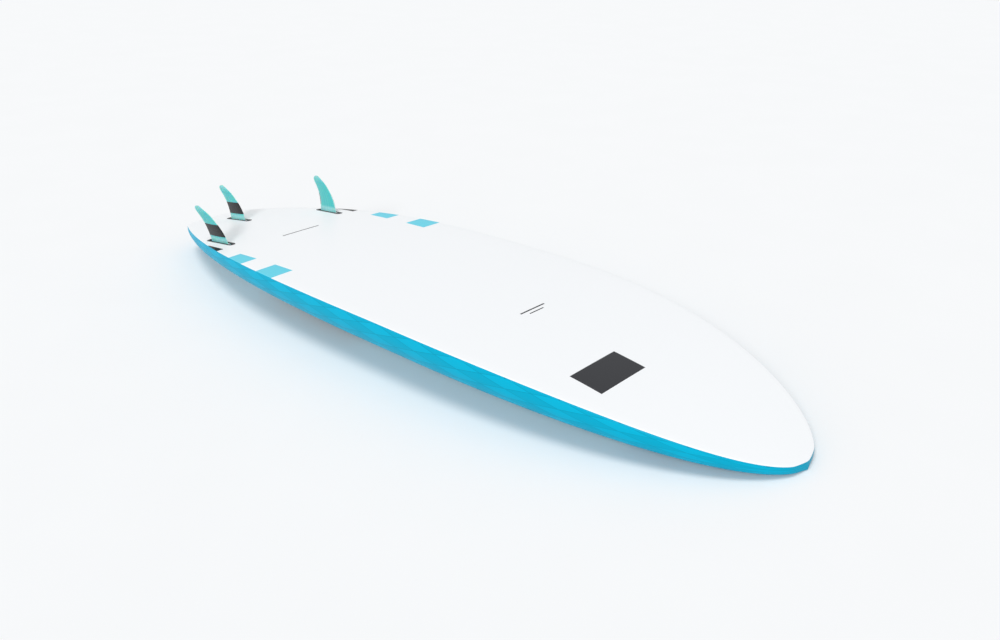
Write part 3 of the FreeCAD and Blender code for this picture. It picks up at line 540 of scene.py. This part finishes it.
# %% Finish the bottom
BLOCKS_AT, BLOCKS_REACH, BLOCKS_FROM = -0.588, 0.245, 0.284  # the row's middle, half its length; inner end
BLOCK_PITCH, BLOCK_HALF = 0.096, 0.0455  # from one block to the next, and half a block's length
BLACK_BEHIND = -0.70  # the block behind this place is black
BARS = ((0.755, 0.050, -0.135, 0.095),  # middle and half length, middle and half width
        (0.400, 0.0028, -0.012, 0.052), (0.416, 0.0022, -0.012, 0.030), (-0.681, 0.0032, 0.0, 0.078))
paint, shader = new_finish("white_polyurethane_lacquer", {
    "Roughness": 0.42, "IOR": 1.5, "Specular IOR Level": 0.18, "Coat Weight": 0.04, "Coat Roughness": 0.2})
place = object_map(paint)
along, across = [add_node(paint, "ShaderNodeSeparateXYZ", {0: place}, out=axis) for axis in (0, 1)]
out_from_middle = maths(paint, "ABSOLUTE", across)
shifted = maths(paint, "ADD", along, -BLOCKS_AT)
folded = maths(paint, "WRAP", shifted, BLOCK_PITCH, -BLOCK_PITCH)
in_pitch = maths(paint, "COMPARE", folded, 0.0, BLOCK_HALF)
in_row = maths(paint, "COMPARE", along, BLOCKS_AT, BLOCKS_REACH)
at_rail = maths(paint, "GREATER_THAN", out_from_middle, BLOCKS_FROM)
blocks = over_all(paint, "MULTIPLY", in_pitch, in_row, at_rail)
aft_most = maths(paint, "LESS_THAN", along, BLACK_BEHIND)
block_colour = mixed(paint, aft_most, "5CCDE2", "16181B")
colour = mixed(paint, blocks, "F1F3F5", block_colour)
bars = 0.0
for middle_x, half_x, middle_y, half_y in BARS:
    sides = [maths(paint, "COMPARE", *side)
             for side in ((along, middle_x, half_x), (across, middle_y, half_y))]
    bars = maths(paint, "MAXIMUM", bars, maths(paint, "MULTIPLY", *sides))
colour = mixed(paint, bars, colour, "2B2C30")
into(shader, "Base Color", colour)
peel = noise(paint, place, 0.004, 2.0)
into(shader, "Coat Normal", bumps(paint, peel, 0.05, 0.0002))
dress(hull_bottom, paint, ["bottom_skin"])

# %% [markdown]
# ## The paint of the rails and the deck
#
# The rails are sprayed in a bright sea blue that wraps round them onto the deck. Long, thin, darker lines
# cross each other at a shallow angle and leave a lattice of stretched diamonds, in two tones that barely
# differ. The middle of the deck is paler and rough: sugar or sand is sprinkled into the wet paint there, so
# that bare feet grip. The map of the skin runs in metres along the board and from 0 at the bottom edge to 1
# at the top of the rail and 2 on the middle of the deck, and the pattern is drawn on that map.

# %% Finish the rails and the deck
paint, shader = new_finish("sea_blue_polyurethane_lacquer", {
    "IOR": 1.5, "Specular IOR Level": 0.07, "Coat Weight": 0.02, "Coat Roughness": 0.15})
along, round_it = flat_places(paint)
DIAMOND = 0.150  # metres between two lines of one family
CLIMB = 2.9  # how many diamonds a line passes while it climbs the rail
LINE = (0.008, 0.035)  # a line's core and its soft edge, as shares of a diamond
GRIP_FROM = 1.32  # share round the section where the rough paint starts
GRIP_AT, GRIP_REACH = -0.115, 0.985  # its middle and half its length
steps_along = maths(paint, "MULTIPLY", along, 1 / DIAMOND)
steps_round = maths(paint, "MULTIPLY", round_it, CLIMB)
lines, cells = 0.0, 0.0
for family in ("ADD", "SUBTRACT"):
    crossing = maths(paint, family, steps_along, steps_round)
    distance = maths(paint, "PINGPONG", crossing, 0.5)
    line = ramp(paint, distance, LINE, (1.0, 0.0), True)
    lines = maths(paint, "MAXIMUM", lines, line)
    cell = maths(paint, "FLOOR", crossing)
    cells = maths(paint, "ADD", cells, cell)
tone = maths(paint, "PINGPONG", cells, 1.0)
facets = mixed(paint, tone, "00A3C4", "00ABCD")
lattice = mixed(paint, lines, facets, "008FAE")
on_deck = maths(paint, "GREATER_THAN", round_it, GRIP_FROM)
fore_and_aft = maths(paint, "COMPARE", along, GRIP_AT, GRIP_REACH)
grip = maths(paint, "MULTIPLY", on_deck, fore_and_aft)
colour = mixed(paint, grip, lattice, "7CCBE0")
into(shader, "Base Color", colour)
into(shader, "Roughness", ramp(paint, grip, (0.0, 1.0), (0.40, 0.75)))
place = object_map(paint)
grains = noise(paint, place, 0.0022, 3.0)
grains = maths(paint, "MULTIPLY", grains, grip)
into(shader, "Normal", bumps(paint, grains, 0.5, 0.0006))
dress(hull_deck, paint, ["deck_skin"])

# %% [markdown]
# ## The fins
#
# Three equal fins are milled from a plate of glass cloth in clear teal resin, then sanded thin at their
# edges and polished. The foil is full near the leading edge and thin at the trailing edge. Both edges rake
# back, each by its own power of the height, and over the last quarter of the height a quarter of an
# ellipse closes them to a broad, round tip. The side fins lean outwards from their tabs. Under the foil a
# straight tab stands in the slot of the box, with a flat ear in front of it for the screw. The skin of the
# foil is mapped from 0 at the trailing edge to 1 at the leading edge on one face and on to 2 on the other,
# so that print can lie on one face alone.

# %% Shape the fins
FIN_HEIGHT, FIN_TOP = 0.128, 0.1273  # of the outline, and where the tip is sanded off
FIN_BACK, FIN_FRONT = -0.053, 0.042  # the ends of the base, from the middle of the box
REAR_RAKE, REAR_POWER = 0.066, 2.6  # how far, and how late, the trailing edge leans back
FRONT_RAKE, FRONT_POWER = 0.099, 1.8  # the same for the leading edge
TIP_FROM, TIP_SHARE, TIP_AT = 0.72, 0.28, -0.073  # where the tip rounds, over what share, to what place
HALF_THICK, THINNING, HALF_EDGE = 0.0045, 0.6, 0.0005  # of the base, lost upwards, of the trailing edge
WAIST, BELLY = 0.45, 1.28  # where the foil is fullest, and how full
FIN_LEAN = 3.5  # degrees that the side fins lean from their tabs
UNDER_LIP = -0.003  # the foil goes on down to here, inside the box's slot


def fin_row(level, height, lean):
    """One closed row of a leaning foil at a share of its height, with its places on the map."""
    trailing = FIN_BACK - REAR_RAKE * level ** REAR_POWER
    leading = FIN_FRONT - FRONT_RAKE * level ** FRONT_POWER
    into_tip = max(0.0, (level - TIP_FROM) / TIP_SHARE)
    closing = 1 - math.sqrt(max(0.0, 1 - into_tip ** 2))
    trailing += (TIP_AT - trailing) * closing
    leading += (TIP_AT - leading) * closing
    middle = height * math.tan(math.radians(lean))
    chord = leading - trailing
    thin = min(1.0, math.sqrt(chord / 0.030))
    thick = HALF_THICK * (1 - THINNING * level) * thin
    row = []
    for side, start in ((-1, 0.0), (1, 1.0)):
        poles = [(trailing, side * HALF_EDGE * thin), (trailing + WAIST * chord, side * BELLY * thick),
                 (trailing + chord, side * thick), (trailing + chord, 0.0)]
        for k in range(19):
            share = 1 - (1 - k / 18) ** 1.6 if side < 0 else (k / 18) ** 1.6
            spot = bezier(poles, share if side < 0 else 1 - share)
            if side < 0 or k:
                row.append((Vector((spot[0], middle + spot[1], height)), (start + share, level)))
    return row


def block(low, high):
    """A plain closed block between two corners, with its edges taken off by a tenth of a millimetre."""
    middle = Matrix.Translation(((low[0] + high[0]) / 2, (low[1] + high[1]) / 2, 0))
    outline = rounded_outline(high[0] - low[0], high[1] - low[1], 0.0004, 2)
    return prism(outline, low[2], high[2], middle)


def joined(name, meshes):
    """Several closed meshes as one."""
    work = bmesh.new()
    for mesh in meshes:
        work.from_mesh(mesh)
    whole = bpy.data.meshes.new(name)
    work.to_mesh(whole)
    work.free()
    return whole


def foil_mesh(lean):
    """The skin of a foil that leans by this many degrees, closed under the lip of its box."""
    levels = [math.sin(math.pi / 2 * k / 30) for k in range(31)]
    rows = [fin_row(0.0, UNDER_LIP, lean)]
    rows += [fin_row(level, min(FIN_HEIGHT * level, FIN_TOP), lean) for level in levels]
    return weld("foil", sheet_faces([row + row[:1] for row in rows]) + [rows[0]])


foils = {"centre": foil_mesh(0.0), "port": foil_mesh(-FIN_LEAN), "starboard": foil_mesh(FIN_LEAN)}
tab = block((-0.050, -0.0045, -0.0217), (0.039, 0.0045, -0.0015))
ear = block((0.038, -0.0045, -0.0049), (0.053, 0.0045, -0.0025))
print("faces of each foil:", len(foils["centre"].polygons))

# %% [markdown]
# Thin resin lets light through, so the edges and the tip look pale and the thick middle is a deeper teal.
# The laminate's layers show as faint contours where the milling cut through them. A black band as wide as a
# third of the fin is printed across the left face of the middle and left fins, and across the outer face
# of the right fin. It runs level with the board, and wraps a few millimetres round both edges.

# %% Finish the fins
BAND_AT, BAND_HALF = 0.335, 0.168  # the band's middle and half its height, as shares of the fin's height
WRAP = 0.53  # half the band's width, as a share of one face
LAYERS = 46.0  # how often the laminate's contours come, from edge to edge


def fin_finish(name, face_middle):
    """Clear teal glass laminate with a black band on the face that has its middle here on the map."""
    resin, shader = new_finish(name, {"Roughness": 0.26, "IOR": 1.54, "Specular IOR Level": 0.3,
                                      "Subsurface Weight": 0.35, "Subsurface Scale": 0.01,
                                      "Coat Weight": 0.08, "Coat Roughness": 0.08})
    across, level = flat_places(resin)
    from_edge = maths(resin, "PINGPONG", across, 1.0)
    lead = ramp(resin, from_edge, (0.80, 0.985), (0.0, 0.75), True)
    trail = ramp(resin, from_edge, (0.12, 0.0), (0.0, 0.35), True)
    tip = ramp(resin, level, (0.80, 1.0), (0.0, 0.35))
    root = ramp(resin, level, (0.17, 0.10), (0.0, 0.38))
    pale = over_all(resin, "MAXIMUM", lead, trail, tip, root)
    layers = maths(resin, "MULTIPLY", from_edge, LAYERS)
    layers = maths(resin, "SINE", layers)
    layers = ramp(resin, layers, (-1.0, 1.0), (0.0, 0.07))
    pale = maths(resin, "ADD", pale, layers)
    colour = mixed(resin, pale, "42B6B6", "BCE8E6")
    banded = maths(resin, "COMPARE", level, BAND_AT, BAND_HALF)
    off_face = maths(resin, "SUBTRACT", across, face_middle)
    off_face = maths(resin, "PINGPONG", off_face, 1.0)
    on_face = maths(resin, "LESS_THAN", off_face, WRAP)
    banded = maths(resin, "MULTIPLY", banded, on_face)
    colour = mixed(resin, banded, colour, "101215")
    into(shader, "Base Color", colour)
    weave = object_map(resin)
    cloth = noise(resin, weave, 0.0016, 1.0)
    into(shader, "Normal", bumps(resin, cloth, 0.04, 0.0001))
    return resin


left_print = fin_finish("teal_glass_laminate_left_print", 0.5)
right_print = fin_finish("teal_glass_laminate_right_print", 1.5)
for side, place in fin_seats.items():
    blade = new_object(f"{side}_fin_blade", joined(f"{side}_fin_blade", [foils[side], tab, ear]))
    blade.data.transform(place)
    smooth(blade, 40)
    finish = right_print if side == "starboard" else left_print
    dress(blade, finish, [f"{side}_fin"], f"{side}_fin_unit")

# %% [markdown]
# ## Moulded and turned fittings
#
# The boxes, the mast track, the plugs, the washers and the vent are moulded in black glass-filled nylon,
# which comes out of a spark-eroded mould with a fine, dull grain. Screws, plates and pins are stainless
# steel, turned and then tumbled. These solids have their real shapes already, so they stay, and only
# get their finish. The foam inside the board is hidden, and is finished for anyone who cuts it open.

# %% Finish the moulded and turned fittings
def moulded(name, colour, grain, roughness):
    """Moulded plastic or rubber: a flat colour that varies a little, under a grain of this size."""
    plastic, shader = new_finish(name, {"IOR": 1.5})
    place = object_map(plastic)
    pits = noise(plastic, place, grain, 4.0)
    cloud = noise(plastic, place, 0.030, 2.0)
    lighter = [min(1.0, c * 1.35 + 0.004) for c in linear(colour)[:3]] + [1.0]
    mixed_colour = mixed(plastic, cloud, linear(colour), lighter)
    into(shader, "Base Color", mixed_colour)
    into(shader, "Roughness", ramp(plastic, pits, (0.3, 0.7), (roughness - 0.08, roughness + 0.08)))
    into(shader, "Normal", bumps(plastic, pits, 0.25, 0.00015))
    return plastic


def foam(name, colour, bead):
    """Foam: fused beads of this size, with a darker line between them."""
    cells, shader = new_finish(name, {"Roughness": 0.9, "IOR": 1.3})
    place = object_map(cells)
    edge = add_node(cells, "ShaderNodeTexVoronoi", {"Vector": place, "Scale": 1 / bead},
                    {"feature": "DISTANCE_TO_EDGE"})
    seam = ramp(cells, edge, (0.0, 0.12), (0.0, 1.0))
    darker = [c * 0.7 for c in linear(colour)[:3]] + [1.0]
    into(shader, "Base Color", mixed(cells, seam, darker, linear(colour)))
    into(shader, "Normal", bumps(cells, seam, 0.4, 0.0005))
    return cells


steel, shader = new_finish("tumbled_stainless_steel", {"Metallic": 1.0})
place = object_map(steel)
scratches = noise(steel, place, 0.0006, 3.0)
into(shader, "Base Color", mixed(steel, scratches, "B6B9BD", "D5D7DA"))
into(shader, "Roughness", ramp(steel, scratches, (0.0, 1.0), (0.22, 0.42)))

finishes = {
    "fin_box": moulded("black_glass_filled_nylon", "17181A", 0.0007, 0.46),
    "mast_track": moulded("black_glass_filled_nylon_track", "17181A", 0.0007, 0.46),
    "strap_plug": moulded("black_polycarbonate_plug", "1C1D1F", 0.0009, 0.52),
    "strap_washer": moulded("black_nylon_washer", "1A1B1D", 0.0006, 0.42),
    "vent": moulded("black_acetal_vent", "1D1E20", 0.0006, 0.38),
    "vent_screw": moulded("grey_acetal_vent_screw", "3A3D41", 0.0006, 0.36),
    "o_ring": moulded("black_nitrile_rubber", "101012", 0.0005, 0.62),
    "foam": foam("expanded_polystyrene_foam", "F4F3EE", 0.003),
    "hard_foam": foam("cross_linked_pvc_foam", "D9C68E", 0.0008),
    "stainless_steel": steel}
replaced = {"bottom_skin", "deck_skin", "centre_fin", "port_fin", "starboard_fin"}
for part in frame["record"]["subparts"]:
    finish = finishes.get(part["material_slot"])
    if finish and part["node"] not in replaced:
        node = nodes[part["node"]]
        for index in range(len(node.material_slots)):
            node.material_slots[index].material = finish
        print(part["node"], "->", finish.name)

# %% [markdown]
# ## The footstraps' webbing
#
# A footstrap hangs on a strip of woven polyester webbing, screwed down at both ends, that leaves the deck,
# climbs, crosses over the foot and comes down again. It is thin and flat, so it is modelled directly: a
# path of straight runs and bends is walked, and a cross-section with round selvedges is set on it square
# to the path.

# %% Walk a strap's path
TAB_END, DECK_BEND, TOP_BEND = 0.096, 0.055, 0.043  # corners of the path, out from its middle
DECK_RADIUS, TOP_RADIUS = 0.013, 0.022  # bends of the path
WEB_WIDTH, WEB_THICK, WEB_ROUND = 0.040, 0.0030, 0.0013
COVER_WIDTH, COVER_THICK, COVER_ROUND = 0.0575, 0.0090, 0.0044
COVER_FROM, COVER_UP = 0.0165, 0.0018  # the cover's foot, and its middle above the path
UNDER_TOP = 0.0073  # from the top of the padded cover to the path
RISES = {"port": 0.0684, "starboard": 0.0684, "rear": 0.0610}  # tops of the covers above the deck


def strap_walk(corners, radii, step=0.004):
    """Points of a bent path in the strap's XZ plane, each with its outward normal and distance walked."""
    walk, walked, start = [], 0.0, Vector(corners[0])
    for before, corner, after, radius in zip(corners, corners[1:], corners[2:] + [None], radii + [None]):
        corner, before = Vector(corner), Vector(before)
        along = (corner - before).normalized()
        normal = Vector((-along.y, along.x))
        first, last = corner, corner
        if after:
            leaving = (Vector(after) - corner).normalized()
            turn = along.angle_signed(leaving) * -1
            cut_back = radius * math.tan(abs(turn) / 2)
            first, last = corner - along * cut_back, corner + leaving * cut_back
        run = (first - start).length
        for k in range(max(2, round(run / step)) + 1):
            share = k / max(2, round(run / step))
            walk.append((start.lerp(first, share), normal, walked + run * share))
        walked += run
        if after:
            side = 1 if turn > 0 else -1
            centre = first + normal * radius * side
            for k in range(1, 8):
                angle = turn * k / 8
                facing = Vector((normal.x * math.cos(angle) - normal.y * math.sin(angle),
                                 normal.x * math.sin(angle) + normal.y * math.cos(angle)))
                walk.append((centre - facing * radius * side, facing, walked + radius * abs(angle)))
            walked += radius * abs(turn)
        start = last
    return walk


def swept(name, walk, outline):
    """A closed strip: the outline's (across, up) points carried along a walk."""
    rows = []
    length = walk[-1][2]
    for spot, normal, walked in walk:
        row = []
        for index, (across, up) in enumerate(outline):
            point = spot + normal * up
            row.append((Vector((point.x, across, point.y)), (walked, across if up > 0.001 else -across)))
        rows.append(row)
    closed = [row + row[:1] for row in rows]
    return weld(name, sheet_faces(closed) + [rows[0], rows[-1]])


def strap_corners(rise, start_height=None):
    """Corners of the webbing's lower face; from the deck, or from a height above it for the cover."""
    top = rise - UNDER_TOP
    if start_height is None:
        half = [(TOP_BEND, top), (DECK_BEND, CLEAR), (TAB_END, CLEAR)]
        return [(-x, z) for x, z in reversed(half)] + half
    foot = DECK_BEND - 0.012 * (start_height - CLEAR) / (top - CLEAR)
    return [(-foot, start_height), (-TOP_BEND, top), (TOP_BEND, top), (foot, start_height)]


web_radii = [DECK_RADIUS, TOP_RADIUS, TOP_RADIUS, DECK_RADIUS]
webbing_outline = [(across, WEB_THICK / 2 + up)
                   for across, up in rounded_outline(WEB_WIDTH, WEB_THICK, WEB_ROUND, 3)]
webbing_walk = strap_walk(strap_corners(RISES["port"]), web_radii)
print("webbing length", round(webbing_walk[-1][2], 3), "m in", len(webbing_walk), "steps")

# %% [markdown]
# Webbing is woven on a narrow loom in a flat rib: warp yarns run along it, and every 2.4 mm the weft pulls
# a rib across. Black yarn keeps a dull sheen. The rib is drawn as a wave along the walked length,
# and the warp as finer waves across it.

# %% Weave and hang the webbing
def woven(name, dark, light, rib, yarn, sheen):
    """Woven or knitted cloth on a strip: ribs across and yarns along, of these sizes in metres."""
    cloth, shader = new_finish(name, {"Roughness": 0.85, "IOR": 1.5, "Sheen Weight": sheen,
                                      "Sheen Roughness": 0.4})
    along, across = flat_places(cloth)
    waves = []
    for direction, pitch in ((along, rib), (across, yarn)):
        turns = maths(cloth, "MULTIPLY", direction, math.tau / pitch)
        wave = maths(cloth, "SINE", turns)
        waves.append(ramp(cloth, wave, (-1.0, 1.0), (0.0, 1.0)))
    weave = maths(cloth, "MULTIPLY", waves[0], waves[1])
    into(shader, "Base Color", mixed(cloth, weave, linear(dark), linear(light)))
    into(shader, "Normal", bumps(cloth, weave, 0.5, 0.0004))
    return cloth


webbing_cloth = woven("black_polyester_webbing", "0C0C0E", "26262A", 0.0024, 0.0016, 0.3)
for side, place in strap_seats.items():
    walk = strap_walk(strap_corners(RISES[side]), web_radii)
    webbing = new_object(f"{side}_strap_web", swept(f"{side}_strap_web", walk, webbing_outline))
    webbing.data.transform(place)
    smooth(webbing, 50)
    dress(webbing, webbing_cloth, [f"{side}_strap_webbing"])

# %% [markdown]
# ## The footstraps' padded covers
#
# Over the foot the webbing runs in a padded sleeve: a strip of soft foam in a tough knit, wrapped round the
# webbing and closed along the outside. Foam pushes the knit out into a crowned, slightly uneven form.
# That form is found by letting cloth go under pressure: the plain sleeve is remeshed evenly, made a
# little thin, blown up for a few frames, and held back where it has moved far enough.

# %% Blow up the covers
def pad_out(piece, pressure, most, voxel=0.004):
    """Blow up a closed form as cloth, let no point move further than a limit, and smooth the outcome."""
    remesh = piece.modifiers.new("even", "REMESH")
    remesh.mode = "VOXEL"
    remesh.voxel_size = voxel
    keep_result(piece)
    rest = [vertex.co.copy() for vertex in piece.data.vertices]
    cloth = piece.modifiers.new("cloth", "CLOTH")
    for setting, value in {"quality": 6, "mass": 0.2, "tension_stiffness": 20,
                           "compression_stiffness": 20, "bending_stiffness": 2, "use_pressure": True,
                           "uniform_pressure_force": pressure}.items():
        setattr(cloth.settings, setting, value)
    cloth.settings.effector_weights.gravity = 0
    cloth.point_cache.frame_start, cloth.point_cache.frame_end = 1, 20
    for number in range(1, 21):
        bpy.context.scene.frame_set(number)
    keep_result(piece)
    bpy.context.scene.frame_set(1)
    for vertex, old in zip(piece.data.vertices, rest):
        move = vertex.co - old
        if move.length > most:
            vertex.co = old + move * (most / move.length)
    finer = piece.modifiers.new("finer", "SUBSURF")
    finer.levels = finer.render_levels = 1
    keep_result(piece)


def map_along(mesh, walk, place):
    """A map for a form round a walk: metres walked along it, and metres across."""
    flat = place.inverted()
    spots = []
    for vertex in mesh.vertices:
        local = flat @ vertex.co
        spot = Vector((local.x, local.z))
        nearest = min(walk, key=lambda step: (step[0] + step[1] * COVER_UP - spot).length_squared)
        beside = Vector((nearest[1].y, -nearest[1].x))
        spots.append((nearest[2] + (spot - nearest[0]).dot(beside), local.y))
    layer = mesh.uv_layers.new(name="shape_map")
    for loop in mesh.loops:
        layer.data[loop.index].uv = spots[loop.vertex_index]


cover_knit = woven("charcoal_polyester_knit", "1B1D20", "3B3F44", 0.0030, 0.0030, 0.5)
cover_outline = [(across, COVER_UP + up)
                 for across, up in rounded_outline(COVER_WIDTH, COVER_THICK, COVER_ROUND, 4)]
for side, place in strap_seats.items():
    walk = strap_walk(strap_corners(RISES[side], COVER_FROM), [TOP_RADIUS, TOP_RADIUS])
    cover = new_object(f"{side}_strap_sleeve", swept(f"{side}_strap_sleeve", walk, cover_outline))
    cover.data.transform(place)
    pad_out(cover, 4.0, 0.0012)
    map_along(cover.data, walk, place)
    smooth(cover, 60)
    dress(cover, cover_knit, [f"{side}_strap_cover"])

# %% [markdown]
# ## The pads
#
# Under the heels and toes the deck carries pads of EVA foam, a tough closed-cell rubber foam. They are cut
# from a 5 mm sheet, and a mill cuts V grooves into them in a diamond pattern for grip. The grooves are
# part of the mesh here: a skewed grid has its lines on the bottoms and the lips of the grooves, follows the
# deck, and is then cut to the pad's outline and to the windows round the plugs.

# %% Mill and cut the pads
TILE_LONG, TILE_WIDE, LIP, GROOVE = 0.032, 0.018, 0.09, 0.0016  # lip is a share of a tile
PAD_THICK, PAD_BORDER, PAD_ROUND = 0.005, 0.012, 0.060  # the border has no grooves
WINDOW = (0.076, 0.052, 0.008)  # length, width and corner radius
FRONT_PAD, REAR_PAD = (0.500, 0.195), (0.340, 0.250)  # length and width


def pad_mesh(name, x, y, heading, length, width):
    """A grooved pad on the deck, with plain borders, cut to a rounded outline."""
    turn = Matrix.Translation((x, y, 0)) @ Matrix.Rotation(math.radians(heading), 4, "Z")
    reach = int((length / TILE_LONG + width / TILE_WIDE) / 2) + 2
    lines = [(n + offset, offset == 0) for n in range(-reach, reach) for offset in (0, LIP, 1 - LIP)]
    lowered, upper = {}, {}

    def spot(i, j):
        """Corners of the lower and upper sheet where two grid lines cross."""
        if (i, j) not in upper:
            (a, a_groove), (b, b_groove) = lines[i], lines[j]
            p, q = (a + b) / 2 * TILE_LONG, (a - b) / 2 * TILE_WIDE
            flat = turn @ Vector((p, q, 0))
            height = deck_at(flat.x, flat.y) - CLEAR
            border = max(abs(p) / (length / 2 - PAD_BORDER), abs(q) / (width / 2 - PAD_BORDER)) > 1
            dip = GROOVE if (a_groove or b_groove) and not border else 0.0
            lowered[i, j] = (Vector((flat.x, flat.y, height)), (p, q))
            upper[i, j] = (Vector((flat.x, flat.y, height - PAD_THICK + dip)), (p, q))
        return i, j

    def inside(i, j):
        """Whether a grid cell is near the pad."""
        (a, _), (b, _) = lines[i], lines[j]
        p, q = (a + b) / 2 * TILE_LONG, (a - b) / 2 * TILE_WIDE
        return abs(p) < length / 2 + 0.03 and abs(q) < width / 2 + 0.03

    cells = [(i, j) for i in range(len(lines) - 1) for j in range(len(lines) - 1) if inside(i, j)]
    faces, edges = [], {}
    for i, j in cells:
        ring = [spot(i, j), spot(i + 1, j), spot(i + 1, j + 1), spot(i, j + 1)]
        faces.append([upper[c] for c in ring])
        faces.append([lowered[c] for c in reversed(ring)])
        for one, two in zip(ring, ring[1:] + ring[:1]):
            edges[frozenset((one, two))] = edges.get(frozenset((one, two)), 0) + 1
    for edge, times in edges.items():
        if times == 1:
            one, two = tuple(edge)
            faces.append([upper[one], upper[two], lowered[two], lowered[one]])
    slab = new_object(name, weld(name, faces))
    cut(slab, [prism(rounded_outline(length, width, PAD_ROUND, 12), -1.0, 1.0, turn)], "INTERSECT")
    windows = [prism(rounded_outline(*WINDOW, 5), -0.06, 0.06, plug) for plug in plug_seats
               if (plug.translation.to_2d() - Vector((x, y))).length < length]
    cut(slab, windows)
    smooth(slab, 22)
    return slab


foam_pad, shader = new_finish("charcoal_eva_foam", {"Roughness": 0.88, "IOR": 1.45, "Sheen Weight": 0.15})
place = object_map(foam_pad)
cells = add_node(foam_pad, "ShaderNodeTexVoronoi", {"Vector": place, "Scale": 1 / 0.0012})
cloud = noise(foam_pad, place, 0.040, 3.0)
into(shader, "Base Color", mixed(foam_pad, cloud, "33373C", "474C52"))
into(shader, "Normal", bumps(foam_pad, cells, 0.35, 0.0002))
pad_places = {"port_pad": (FRONT_STRAP_AT, -0.142, -5, *FRONT_PAD),
              "starboard_pad": (FRONT_STRAP_AT, 0.142, 5, *FRONT_PAD),
              "rear_pad": (REAR_STRAP_AT, 0.0, 0, *REAR_PAD)}
for name, numbers in pad_places.items():
    pad = pad_mesh(name + "_grip", *numbers)
    dress(pad, foam_pad, [name])

# %% [markdown]
# ## The studio
#
# The board lies on a seamless, nearly white sheet. Half of the light comes from all round, from the world.
# A soft key overhead draws the shadow under the board, and a low fill from the front left lights the rail,
# shines in under the board and gives the fins their pale shadows. Both are suns with a wide angle, because
# these light the sheet alike near and far. What the camera, a mirror or glass sees of the world is a paler
# white than the light it gives, so the sheet runs into it almost without an edge.

# %% Floor, light and world
FAR = 12  # metres from the board's middle to the sheet's edges
LIGHT_STRENGTH, SEEN_STRENGTH = 0.48, 0.95
corners = ((-FAR, -FAR), (FAR, -FAR), (FAR, FAR), (-FAR, FAR))
floor_mesh = weld("floor", [[(Vector((x, y, 0.0)), (x, y)) for x, y in corners]])
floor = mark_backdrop(new_object("floor", floor_mesh)) or bpy.data.objects["floor"]
paper, shader = new_finish("white_background_paper", {"Roughness": 0.9, "Specular IOR Level": 0.0})
place = object_map(paper)
fibres = add_node(paper, "ShaderNodeTexNoise", {"Vector": place, "Scale": 3.0, "Detail": 2.0})
into(shader, "Base Color", mixed(paper, fibres, "F3F4F5", "F5F6F7"))
floor.data.materials.append(paper)


def broad_lamp(name, heading, power, spread):
    """A sun with a wide angle, in degrees, which shines in this direction."""
    lamp = bpy.data.lights.new(name, "SUN")
    lamp.energy, lamp.angle = power, math.radians(spread)
    holder = bpy.data.objects.new(name, lamp)
    holder.rotation_euler = Vector(heading).to_track_quat("-Z", "Y").to_euler()
    bpy.context.collection.objects.link(holder)


broad_lamp("overhead_key", (0.0, 0.29, -1.0), 1.12, 26)
broad_lamp("front_left_fill", (-0.30, 0.80, -0.50), 1.45, 16)

world = bpy.data.worlds.new("studio")
bpy.context.scene.world = world
world.use_nodes = True
background = world.node_tree.nodes["Background"]
background.inputs["Color"].default_value = linear("FAFBFC")
seen = [add_node(world, "ShaderNodeLightPath", {}, out=ray) for ray in
        ("Is Camera Ray", "Is Glossy Ray", "Is Transmission Ray")]
seen = over_all(world, "MAXIMUM", *seen)
into(background, "Strength", ramp(world, seen, (0.0, 1.0), (LIGHT_STRENGTH, SEEN_STRENGTH)))
bpy.context.scene.view_settings.view_transform = "Standard"
